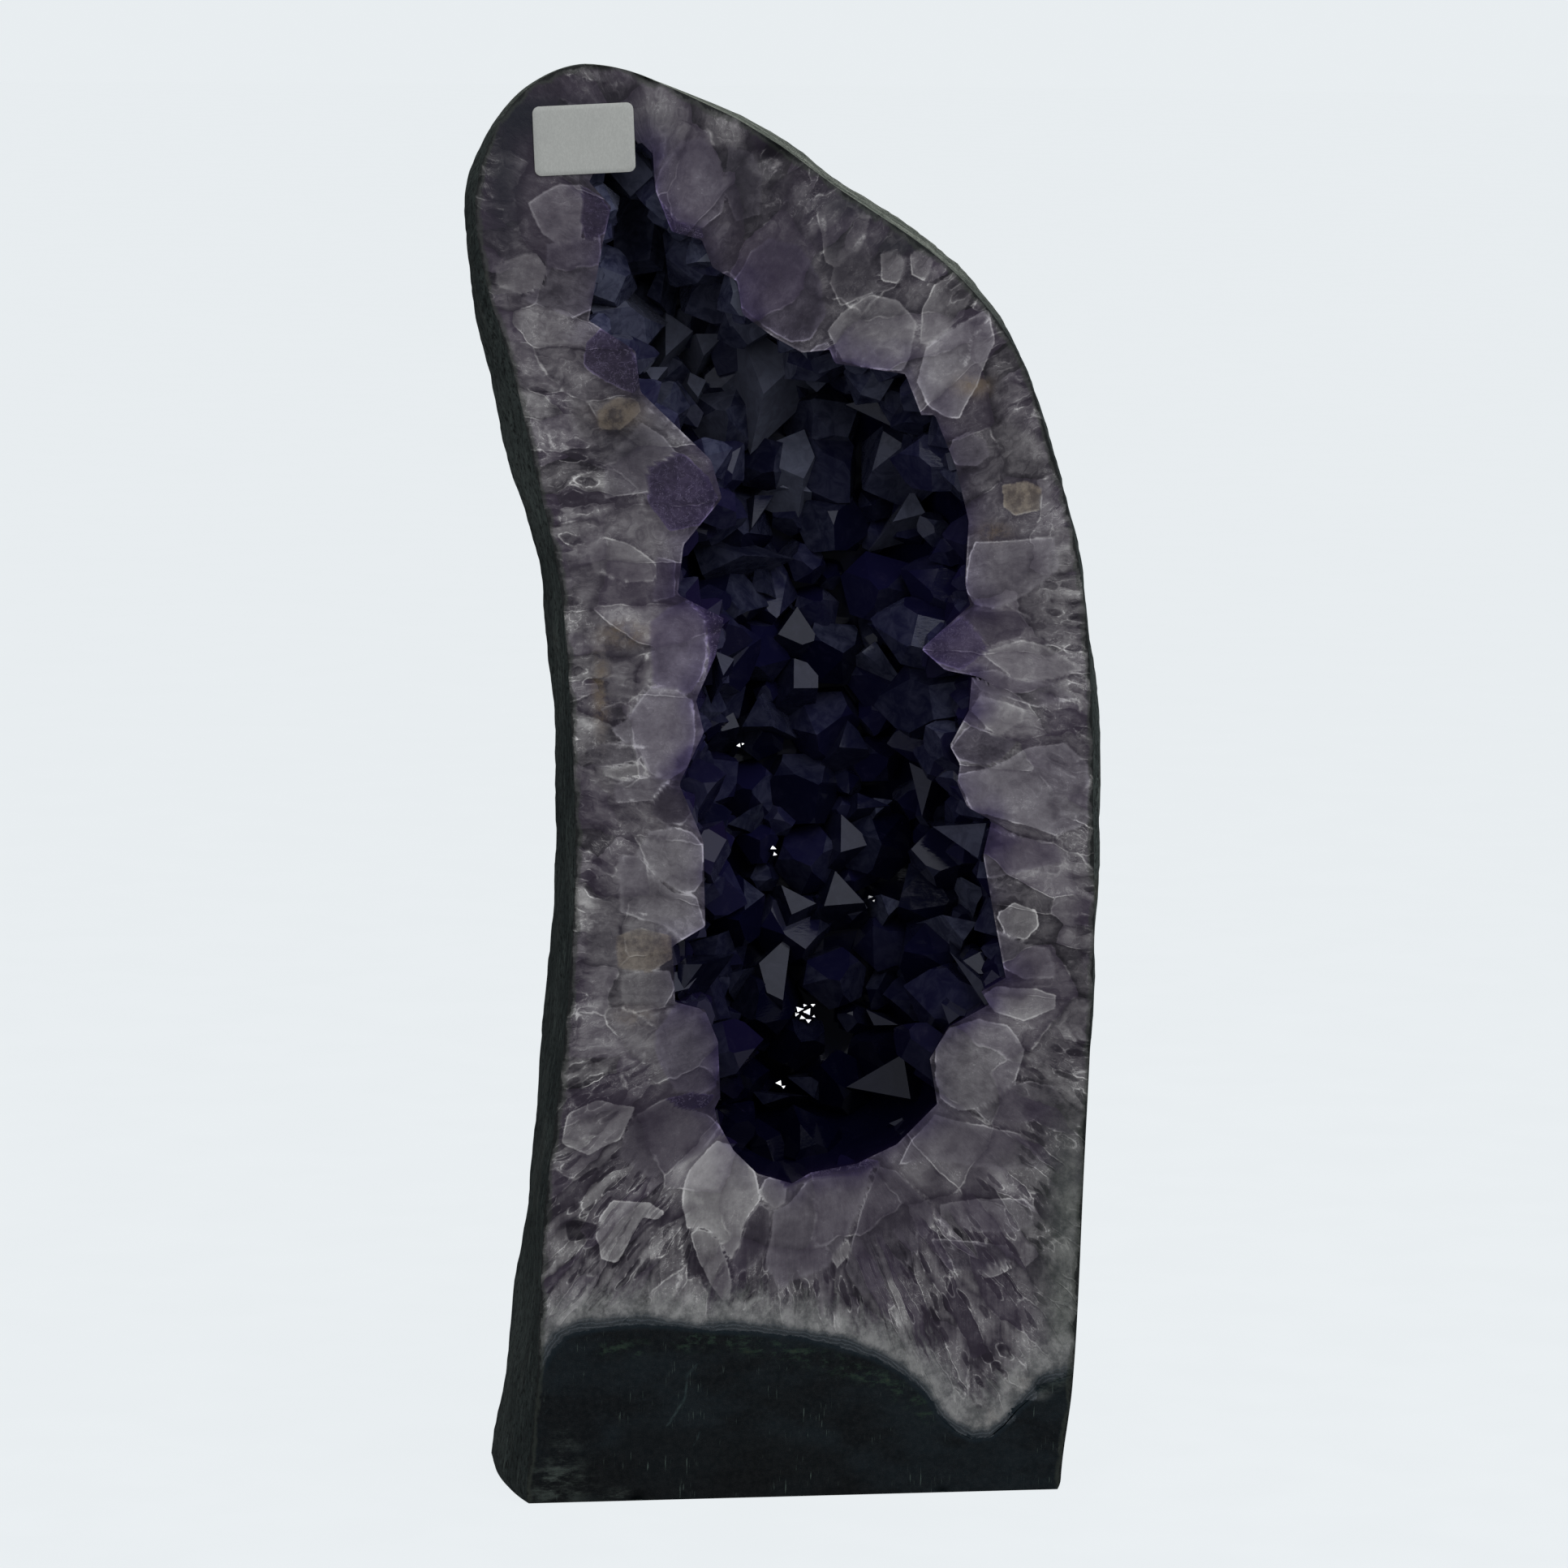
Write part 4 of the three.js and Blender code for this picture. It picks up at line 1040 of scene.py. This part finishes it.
def face_material():
    """The half-polished sawn face: the quartz band over the basalt foot."""
    s = Shader("sawn_face", Roughness=0.42, IOR=1.5, Specular_IOR_Level=0.4)
    place = s.millimetres()
    _, near_edge, over_arch = s.parts(s.attribute("reach"))
    pale, pale_relief = quartz_look(s, place)
    black, black_relief = basalt_look(s, place)
    fret = s.noise(s.scaled(place, 2.2), 5, 0.7)
    torn = s.noise(s.scaled(place, 8), 5, 0.62)
    torn = (torn - 0.5) * s.parts(place)[0].step(40, 75, 0.5, 13)
    above = ((fret - 0.5) * 2.2 + (over_arch + torn)).step(-0.25, 0.45)
    worn_edge = s.noise(s.scaled(place, 7, 7, 11), 5, 0.65)
    skin = (worn_edge - 0.5) * 7 + near_edge
    s.set("Base Color", s.coats(s.mix(above, black, pale),
                                (skin.step(2.6, 1.2, 0, 0.6), (62, 68, 62)),
                                (skin.step(1.1, 0.2, 0, 0.9), (20, 25, 26))))
    s.set("Roughness", fret.step(0.3, 0.7, 0.36, 0.58))
    s.bump(above.blend(black_relief * 0.6, pale_relief), 0.0003, 0.5)
    return s.material


def rind_material():
    """The weathered rind: dark, rough, upright streaks and pits; painted shade in pits, painted
    light on top.
    """
    s = Shader("weathered_rind", Roughness=0.85, IOR=1.5, Specular_IOR_Level=0.3)
    place = s.millimetres()
    wrapped = s.attribute("rind")
    raised = s.parts(wrapped)[2]
    painted_rim_light = s.parts(s.attribute("painted_rind_light"))[0]
    streak = s.noise(s.scaled(wrapped, 1.9, 24, 5), 5, 0.68)
    grit = s.noise(s.scaled(place, 1.6, 1.6, 2.6), 5, 0.75)
    patches = s.noise(s.scaled(place, 34, 34, 60), 5, 0.6)
    shift = s.times(s.noise(s.scaled(place, 5), 3, output="Color"), 1.4)
    pits = s.cells(s.plus(s.scaled(place, 5, 5, 7), shift), "F1", "Distance", flat=False)
    s.set("Base Color", s.coats(
        s.between(patches, 0.35, 0.68, (54, 64, 64), (90, 100, 98)),
        (streak.step(0.5, 0.7, 0, 0.5), (122, 134, 130)),
        (streak.step(0.46, 0.34, 0, 0.5), (16, 22, 26)),
        (grit.step(0.52, 0.36, 0, 0.9), (10, 14, 16)),
        (raised.step(0.25, 1.1, 0, 0.35), (104, 108, 104)),
        (patches.step(0.62, 0.78, 0, 0.4), (96, 84, 68)),
        # Painted light on the rind's top and upper right side.
        ((painted_rim_light * grit.step(0.3, 0.6, 0.4, 1)).clamp(),
         s.between(streak, 0.4, 0.65, (104, 112, 104), (158, 164, 154))),
        # Painted shade: darker in the middle of each pit.
        (pits.step(0.34, 0.1, 0, 0.35), (20, 26, 27))))
    s.bump(pits.step(0, 0.6) * 0.7 + (grit * 0.7 + streak * 0.3), 0.0018, 0.9)
    return s.material


def crystal_material():
    """Dark, glassy amethyst: more violet by the mouth as painted light, painted shade low down."""
    s = Shader("amethyst", Roughness=0.07, IOR=1.544, Specular_IOR_Level=0.2)
    s.bsdf.inputs["Specular Tint"].default_value = (0.86, 0.9, 1.0, 1.0)
    place = s.millimetres()
    tone, rim, _ = s.parts(s.attribute("crystal"))
    painted_sheen = s.number("ShaderNodeAttribute", "Fac", {}, attribute_name="painted_sheen")
    veil = s.noise(s.scaled(place, 6), 6, 0.65, 0.8)
    colour = s.coats(
        s.mix(tone, linear(7, 9, 34), linear(26, 25, 62)),
        # Painted light: paler violet near the mouth, where light comes into the hollow.
        ((rim * 0.5).clamp(), (56, 44, 86)),
        (veil.step(0.54, 0.8, 0, 0.3), (62, 56, 88)),
        # Painted sheen: a pale colour in place of reflections, paler still on facets no lamp
        # reaches.
        (painted_sheen.at_most(1.0), s.between(veil, 0.35, 0.65, (46, 49, 74), (82, 86, 110))),
        ((painted_sheen - 1.0).clamp(), (142, 147, 164)))
    # Painted shade: the crystals darken to almost black towards the hollow's bottom.
    painted_bottom_shade = s.parts(place)[2].step(235, 150, 0, 0.5)
    s.set("Base Color", s.mix(painted_bottom_shade, colour, (0.0, 0.0, 0.003, 1)))
    s.set("Roughness", veil.step(0.35, 0.8, 0.05, 0.22))
    s.bump(s.noise(s.scaled(place, 3, 3, 0.8), 3), 0.0001, 0.3)
    return s.material


def glint_material():
    """A broken facet that throws the lamp back almost whole."""
    s = Shader("bright_glint", Metallic=1.0, Roughness=0.16)
    shards = s.parts(s.cells(s.scaled(s.millimetres(), 1.3), flat=False))
    s.set("Base Color", s.mix(shards[0], linear(190, 192, 200), linear(252, 252, 252)))
    s.bump(shards[1], 0.0002, 0.4)
    return s.material


def paper_material():
    """Matte white label paper with a faint grain."""
    s = Shader("label_paper", Roughness=0.7, IOR=1.45)
    place = s.millimetres()
    fibres = s.noise(s.scaled(place, 0.5, 1, 0.9), 4, 0.7)
    soft = s.noise(s.scaled(place, 12), 2)
    s.set("Base Color", s.coats(s.between(fibres, 0.35, 0.7, (194, 197, 194), (206, 209, 206)),
                                (soft.step(0.45, 0.75, 0, 0.25), (182, 185, 184))))
    s.bump(fibres, 0.00006, 0.5)
    return s.material


sawn, rind_skin, amethyst = face_material(), rind_material(), crystal_material()
body = make_object("stone_body", body_points, body_faces, [sawn, rind_skin, amethyst],
                   body_slots, body_attributes)
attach(body, "root")
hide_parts("geode_body")


# ---- Crystals --------------------------------------------------------------------------------
# A quartz point's planes are its six sides, six faces at the tip, its root and the sawn face.
PLANES = 14
TRIPLES = np.array(list(itertools.combinations(range(PLANES), 3)))
# How steep the faces at the tip are, and how far behind the sawn face a crystal is cut off.
FACE_TILT, BEHIND_FACE = math.radians(51.8), 0.7
# How near to the rind, which is at 1, a crystal may reach. What glares: a facet with more square
# millimetres than this that mirrors a lamp this squarely into the camera.
NEAREST_RIND, LARGE_FACET, SQUARELY = 0.95, 14, 0.958
# The wall that crystals grow on: its rings' depths, and how far the last ones close its back.
CRUST_DEPTHS = [1, 4, 8, 12, 16, 20, 24, 28, 32, 36, 40, 44, 48, 52, 55, 58]
CLOSING = [0.12, 0.25, 0.4, 0.55, 0.7, 0.85, 1.0]


def polytope(normals, distances):
    """Corners and faces of the solid that the planes enclose."""
    triples = TRIPLES[(TRIPLES < len(normals)).all(axis=1)]
    triples = triples[np.abs(np.linalg.det(normals[triples])) > 1e-6]
    corners = np.linalg.solve(normals[triples], distances[triples][..., None])[..., 0]
    corners = corners[((corners @ normals.T) <= distances + 1e-6).all(axis=1)]
    if len(corners) < 4:
        return None
    unique = []
    for corner in corners:
        if all(np.abs(corner - other).max() > 1e-4 for other in unique):
            unique.append(corner)
    points = np.array(unique)
    faces = []
    for plane, distance in zip(normals, distances):
        on = np.where(np.abs(points @ plane - distance) < 2e-4)[0]
        if len(on) < 3:
            continue
        centre = points[on].mean(axis=0)
        u = points[on[0]] - centre
        u /= np.linalg.norm(u)
        v = np.cross(plane, u)
        turn = np.arctan2((points[on] - centre) @ v, (points[on] - centre) @ u)
        faces.append([int(i) for i in on[np.argsort(turn)]])
    return points, faces


def frame_along(direction, spin):
    """A turn that takes +Z to the direction, then spins about it."""
    turn = Vector((0, 0, 1)).rotation_difference(Vector(direction))
    return np.array(turn.to_matrix() @ Matrix.Rotation(spin, 3, "Z"))


def quartz_point(radius, root, place, direction, spin):
    """One pointed six-sided crystal, cut off at the sawn face."""
    turn = frame_along(direction, spin)
    tip = radius * math.tan(FACE_TILT) * rng.uniform(0.92, 1.05)
    normals, distances = [], []
    for k in range(6):
        a = k * math.pi / 3
        normals.append((math.cos(a), math.sin(a), 0))
        distances.append(radius * rng.uniform(0.8, 1.0))
        raised = rng.uniform(0, 0.1) if k % 2 else rng.uniform(0.06, 0.42)
        normals.append((math.sin(FACE_TILT) * math.cos(a), math.sin(FACE_TILT) * math.sin(a),
                        math.cos(FACE_TILT)))
        distances.append(math.cos(FACE_TILT) * tip * (1 + raised))
    normals.append((0, 0, -1))
    distances.append(root)
    normals = np.array(normals) @ turn.T
    distances = np.array(distances) + normals @ place
    normals = np.vstack([normals, [0, -1, 0]])
    distances = np.append(distances, -BEHIND_FACE)
    return polytope(normals, distances)


crust_wall = wall_with_back(6.0, CRUST_DEPTHS, CLOSING)
wall_normal = np.cross(np.roll(crust_wall, -1, axis=1) - np.roll(crust_wall, 1, axis=1),
                       np.gradient(crust_wall, axis=0))
wall_area = np.linalg.norm(wall_normal, axis=-1)
wall_normal /= np.maximum(wall_area, 1e-9)[..., None]
centre_line = np.insert(spine_point(crust_wall[..., 2]), 1, 20.0, axis=-1)
wall_normal[np.sum((centre_line - crust_wall) * wall_normal, axis=-1) < 0] *= -1
wall_normal[-len(CLOSING):] = [0, -1, 0]
wall_points, wall_inward = crust_wall.reshape(-1, 3), wall_normal.reshape(-1, 3)
weights = wall_area.ravel() / wall_area.sum()

wall_tree = BVHTree.FromPolygons([Vector(p) for p in wall_points],
                                 grid_faces(len(crust_wall), crust_wall.shape[1],
                                            closed=True).tolist())
eye_mm = np.array(EYE) * 1000 - SHIFT
# From the stone to its two large lamps.
KEY_DIRECTION = Vector((0.34, -0.62, 0.71)).normalized()
FILL_DIRECTION = Vector((-0.75, -0.62, 0.25)).normalized()

crust_points, crust_faces, crust_tone_and_painted_light, crust_painted_sheen, crust_slots = [], [], [], [], []
placed, in_view = [], []


def hides(solid):
    """Whether a crystal stands between the camera and one of the facets that must show."""
    points, faces = solid
    tree = None
    span_x, span_z = ((points[:, k].min() - 12, points[:, k].max() + 12) for k in (0, 2))
    for samples in in_view:
        if not (span_x[0] < samples[0, 0] < span_x[1] and span_z[0] < samples[0, 2] < span_z[1]):
            continue
        tree = tree or BVHTree.FromPolygons([Vector(p) for p in points], faces)
        for sample in samples:
            aim = sample - eye_mm
            far = np.linalg.norm(aim)
            if tree.ray_cast(Vector(eye_mm), Vector(aim / far), far - 0.5)[0] is not None:
                return True
    return False


def room(points):
    """How far out towards the rind points lie: 0 on the middle line, 1 at the rind."""
    z = np.clip(points[:, 2], 0, HEIGHT - 1)
    mid, half = middle_and_half(z)
    u, v = (points[:, 0] - mid) / half, np.maximum(0, points[:, 1]) / depth_at(z)
    p = np.where(u > 0, right_square(z), left_square(z))
    return (np.abs(u) ** p + v ** p) ** (1 / p)


def facet_painted_sheen(points, count):
    """Painted sheen for each facet, in place of reflections: more at the top, none at the bottom.
    """
    z = points[:, 2].mean()
    lift = 0.95 * float(smooth(z, 350, 425))
    calm = float(smooth(z, 135, 185))
    return (rng.uniform(0, 1, count) ** 2.2 * 0.62 + rng.uniform(0.3, 1) * lift) * calm


def glares(solid):
    """Whether a large facet would mirror one of the lamps to the camera."""
    points, faces = solid
    for face in faces:
        corners = points[face]
        area = sum(np.cross(corners[k] - corners[0], corners[k + 1] - corners[0])
                   for k in range(1, len(face) - 1)) / 2
        size = np.linalg.norm(area)
        if size > LARGE_FACET:
            for lamp in (KEY_DIRECTION, FILL_DIRECTION):
                if abs(area @ np.array((lamp + BACK).normalized())) > SQUARELY * size:
                    return True
    return False


def add_solid(solid, tone, rim, painted_sheen=None):
    """Adds a crystal to the crust's mesh, with its own painted sheen on each facet."""
    points, faces = solid
    start = sum(len(p) for p in crust_points)
    crust_points.append(points)
    crust_faces.extend([[start + i for i in face] for face in faces])
    crust_painted_sheen.extend(facet_painted_sheen(points, len(faces)) if painted_sheen is None else [painted_sheen] * len(faces))
    crust_slots.extend([0] * len(faces))
    crust_tone_and_painted_light.append(np.tile([tone, rim, 0.0], (len(points), 1)))


def sees(place, lamp):
    """Whether light from the lamp reaches a place in the hollow through its mouth."""
    leaves = place - np.array(lamp) * place[1] / lamp[1]
    return bool(inside(leaves[None, [0, 2]], np.array(MOUTH, float))[0])


def facet_crystal(corners, lamps):
    """A crystal whose one face covers these corners for the camera and mirrors a lamp.

    It mirrors the first of the lamps whose light comes in there. Also: whether there is one.
    """
    centre = corners.mean(axis=0)
    aim = np.array([centre[0], 0, centre[1]]) - eye_mm
    aim /= np.linalg.norm(aim)
    hit = wall_tree.ray_cast(Vector(eye_mm), Vector(aim))[0]
    place = np.array(hit) if hit else eye_mm + aim * (EYE_DISTANCE * 1000 + 60)
    size = np.sqrt(np.mean(np.sum((corners - centre) ** 2, axis=1)))
    place = place - aim * min(place[1] - 3, 7 + 0.6 * size)
    lit = [lamp for lamp in lamps if sees(place, lamp)]
    facing = ((lit or lamps)[0] + BACK).normalized()
    wobble = Vector(rng.uniform(-0.06, 0.06, 3))
    plane = np.array((facing + wobble).normalized())
    rays = np.insert(corners, 1, 0, axis=1) - eye_mm
    top = eye_mm + rays * (((place - eye_mm) @ plane) / (rays @ plane))[:, None]
    top += aim * max(0.0, 0.8 - top[:, 1].min()) / aim[1]
    middle_point = top.mean(axis=0)
    for share_back in (1, 0.6, 0.35, 0.15, 0.06):
        low = middle_point + (top - middle_point) * (1 + 0.9 * share_back)
        low -= plane * (14 + 0.9 * size) * share_back
        low[:, 1] = np.maximum(low[:, 1], 1.0)
        if room(low).max() < NEAREST_RIND:
            break
    count = len(top)
    faces = [list(range(count)), list(range(count, 2 * count))[::-1]]
    faces += [[i, i + count, (i + 1) % count + count, (i + 1) % count] for i in range(count)]
    placed.append((middle_point, 0.75 * size + 2))
    in_view.append(np.vstack([middle_point, (top + middle_point) / 2]))
    return (np.vstack([top, low]), faces), bool(lit)


for number, corners in enumerate(FACETS):
    dim = number in DIM_FACETS
    solid, lit = facet_crystal(points_of(corners), [FILL_DIRECTION if dim else KEY_DIRECTION])
    # Facets that no lamp reaches, and those high in the hollow, get more painted sheen.
    deep = 0.35 if solid[0][:, 2].mean() > 360 else 0.0
    add_solid(solid, rng.uniform(0, 0.5), 0.0,
              rng.uniform(0.1, 0.3) + (0.0 if lit else (0.25 if dim else 0.8) + deep))

for x, z, size in GLINTS:
    turn = rng.uniform(0, math.pi)
    corners = [[x + size * math.cos(turn + a),
                z + size * rng.uniform(0.6, 1) * math.sin(turn + a)] for a in (0, 1.9, 3.9)]
    shining = len(crust_slots)
    solid = facet_crystal(np.array(corners), [KEY_DIRECTION, FILL_DIRECTION])[0]
    add_solid(solid, 0.3, 0.0, 0.2)
    crust_slots[shining] = 1


def scatter(count, smallest, largest, crowding, nearest_front, lean):
    """Crystals on the hollow's wall: so many, with radii from smallest to largest.

    They are kept apart by their sizes times crowding, and their places behind nearest_front.
    """
    candidates = rng.choice(len(wall_points), size=count * 30, p=weights)
    made = 0
    for index in candidates:
        place = wall_points[index] + rng.uniform(-1, 1, 3)
        if place[1] < nearest_front:
            continue
        # They are larger near the top, and the front of the bottom stays free.
        radius = rng.uniform(smallest, largest) * (1 + 0.35 * float(smooth(place[2], 390, 440)))
        if place[2] < 152 and place[1] < 30:
            continue
        if any(np.linalg.norm(place - other) < crowding * (radius + size)
               for other, size in placed):
            continue
        inward = wall_inward[index] + rng.normal(0, lean, 3)
        inward[1] += 0.12
        inward /= np.linalg.norm(inward)
        # Painted light: crystals near the mouth, more so on the hollow's left half, get a paler
        # violet.
        rim = float(np.exp(-place[1] / 14)) * (1.0 if place[0] < spine_at(place[2]) else 0.4)
        seat = place + inward * rng.uniform(-0.5, 0.35) * radius
        spin = rng.uniform(0, math.pi)
        for root in (radius + 5, 0.6 * radius, 0.25 * radius, 0.05 * radius):
            solid = quartz_point(radius, root, seat, inward, spin)
            if solid is not None and room(solid[0]).max() < NEAREST_RIND:
                break
        else:
            continue
        if hides(solid) or (glares(solid) and (place[2] < 190 or rng.random() < 0.85)):
            continue
        # Painted shade: their tone fades to the darkest towards the hollow's bottom.
        add_solid(solid, rng.uniform(0, 1) * float(smooth(place[2], 135, 190)), rim)
        placed.append((place, radius))
        made += 1
        if made >= count:
            break


# Two rows of crystals close behind the ragged mouth, which slope back from its edge: the row's
# depth, the gap between crystals, and their smallest and largest radius.
for depth, gap, smallest, largest in [(1.2, 13, 7, 11), (2.5, 9, 5, 8)]:
    ring = hollow_rings(0.0, [depth])[0]
    run = lengths(np.vstack([ring, ring[:1]])[:, ::2])
    for start_at in np.arange(0, run[-1], gap * 0.8):
        i = int(np.searchsorted(run, start_at + rng.uniform(-0.3, 0.3) * gap)) % len(ring)
        edge_way = ring[(i + 6) % len(ring)] - ring[i - 6]
        inward = np.array([edge_way[2], 0, -edge_way[0]])
        inward /= max(1e-6, np.linalg.norm(inward))
        centre = np.insert(spine_point(ring[i][2]), 1, ring[i][1])
        if inward @ (centre - ring[i]) < 0:
            inward = -inward
        low_lip = ring[i][2] < 146 and ring[i][0] > -22
        if low_lip and depth > 2:
            continue
        radius = rng.uniform(smallest, largest) * (0.5 if low_lip else 1)
        way = inward + np.array([0, rng.uniform(0.15, 0.75), 0]) + rng.normal(0, 0.22, 3)
        way /= np.linalg.norm(way)
        place = ring[i] + np.array([0, 0.95 * radius + depth, 0]) - inward * 0.5 * radius
        solid = quartz_point(radius, radius * 0.8, place, way, rng.uniform(0, math.pi))
        if solid is None or room(solid[0]).max() > 0.96 or glares(solid) or hides(solid):
            continue
        # Painted light, as above: paler violet near the mouth, more so on the hollow's left half.
        left = place[0] < spine_point(place[2])[0]
        add_solid(solid, rng.uniform(0, 1), float(np.exp(-place[1] / 16)) * (1.0 if left else 0.5))
        placed.append((place + inward * 0.4 * radius, 0.8 * radius))

# Large, middling and small crystals on the wall behind them.
for size_class in [(110, 12, 18, 0.72, 13, 0.3), (90, 8, 11, 0.74, 10, 0.34),
                   (60, 5, 7, 0.72, 8, 0.4)]:
    scatter(*size_class)

crust = make_object("crystal_points", np.vstack(crust_points), crust_faces,
                    [amethyst, glint_material()], slots=crust_slots, flat=True,
                    attributes={"crystal": np.vstack(crust_tone_and_painted_light), "painted_sheen": crust_painted_sheen})
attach(crust, "root")
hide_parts("crystal_crust")


# ---- Paper label -----------------------------------------------------------------------------
TOP_OF_LABEL = -0.5


def label_outline(grow):
    """The label's rounded outline, about its middle."""
    points = []
    corner = LABEL["corner"]
    x, z = LABEL["width"] / 2 - corner, LABEL["height"] / 2 - corner
    for k, (sx, sz) in enumerate([(1, 1), (-1, 1), (-1, -1), (1, -1)]):
        for a in np.linspace(k * 90, k * 90 + 90, 9):
            angle = math.radians(a)
            points.append([sx * x + (corner + grow) * math.cos(angle),
                           sz * z + (corner + grow) * math.sin(angle)])
    return np.array(points)


def make_label():
    """A thin sheet stuck on the face, with its rim slightly rounded over."""
    tilt = math.radians(LABEL["tilt"])
    turn = np.array([[math.cos(tilt), math.sin(tilt)], [-math.sin(tilt), math.cos(tilt)]])
    rings = [(label_outline(-inset), y) for inset, y in [(0, 0), (0, -0.42), (0.12, TOP_OF_LABEL)]]
    rings += [(label_outline(0) * k, TOP_OF_LABEL) for k in np.linspace(0.85, 0.0, 9)[:-1]]
    points = np.array([np.insert(ring @ turn + (LABEL["x"], LABEL["z"]), 1, y, axis=1)
                       for ring, y in rings])
    flat, around = points.reshape(-1, 3), points.shape[1]
    lift = np.array([0.05 * noise.noise(Vector((p[0], 0, p[2])) / 7) for p in flat])
    flat[:, 1] -= np.where(flat[:, 1] < -0.3, np.abs(lift), 0)
    faces = grid_faces(len(points), around, closed=True).tolist()
    last = len(flat) - around
    faces += [[last + c, last + (c + 1) % around, len(flat)] for c in range(around)]
    faces.append(list(range(around))[::-1])
    return np.vstack([flat, [[LABEL["x"], TOP_OF_LABEL, LABEL["z"]]]]), faces


label_points, label_faces = make_label()
label = make_object("blank_label", label_points, label_faces, [paper_material()])
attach(label, "root")
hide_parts("paper_label")


# ---- Floor, backdrop and light ---------------------------------------------------------------
PALE = linear(232, 237, 240)


def stage_material(name, glow, albedo):
    """Pale studio paper that glows a little, so that it stays even behind the stone."""
    s = Shader(name, Roughness=0.95)
    grain = s.noise(s.scaled(s.millimetres(), 50), 2)
    s.set("Base Color", s.mix(grain.step(0.3, 0.7, 0, 0.04),
                              tuple(c * albedo for c in PALE[:3]) + (1,), (0.5, 0.5, 0.5, 1)))
    s.bsdf.inputs["Emission Color"].default_value = PALE
    s.bsdf.inputs["Emission Strength"].default_value = glow
    return s.material


def disc(name, radius, z, material):
    """A round floor sheet."""
    points = [[radius * math.cos(a) - SHIFT[0], radius * math.sin(a) - SHIFT[1], z]
              for a in np.linspace(0, 2 * math.pi, 97)[:-1]]
    return make_object(name, np.array(points), [list(range(len(points)))], [material])


def dome(name, radius, material):
    """A sphere of backdrop, seen from inside."""
    rows, around = 24, 48
    points = [[radius * math.sin(a) * math.cos(b), radius * math.sin(a) * math.sin(b),
               radius * math.cos(a)] for a in np.linspace(0, math.pi, rows + 1)
              for b in np.linspace(0, 2 * math.pi, around + 1)[:-1]]
    faces = grid_faces(rows + 1, around, closed=True).tolist()
    return make_object(name, np.array(points), faces, [material])


FLOOR_RADIUS, BACKDROP_RADIUS = 9000, 12000
floor = disc("floor", FLOOR_RADIUS, -0.2, stage_material("floor_paper", 0.986, 0.02))
backdrop = dome("backdrop", BACKDROP_RADIUS, stage_material("backdrop_paper", 1.0, 0.0))
for piece in (floor, backdrop):
    piece.visible_glossy = False
    piece.visible_transmission = False
backdrop.visible_diffuse = False
backdrop.visible_shadow = False
floor.visible_diffuse = False

world = bpy.data.worlds.new("studio")
bpy.context.scene.world = world
world.use_nodes = True
sky = world.node_tree.nodes["Background"].inputs
sky[0].default_value, sky[1].default_value = (0.92, 0.96, 1.0, 1.0), 0.09


def softbox(name, direction, distance, width, height, radiance):
    """A large soft light that looks at the stone."""
    lamp = bpy.data.lights.new(name, "AREA")
    lamp.shape = "RECTANGLE"
    lamp.size = width
    lamp.size_y = height
    lamp.energy = radiance * math.pi * width * height
    light = bpy.data.objects.new(name, lamp)
    bpy.context.scene.collection.objects.link(light)
    direction = Vector(direction).normalized()
    light.location = Vector(to_row(MIDDLE_OF_HOLLOW)) + direction * distance
    light.rotation_mode = "QUATERNION"
    light.rotation_quaternion = (-direction).to_track_quat("-Z", "Y")


# Name, direction, distance, width, height, radiance.
softbox("key", KEY_DIRECTION, 1.7, 1.8, 1.5, 1.85)
softbox("fill", FILL_DIRECTION, 2.0, 2.2, 2.2, 0.68)
softbox("side", (0.85, -0.5, 0.1), 2.0, 1.8, 1.8, 0.44)
softbox("top", (0.25, 0.25, 1.0), 1.5, 1.2, 0.9, 1.2)
bpy.context.scene.view_settings.view_transform = "Standard"
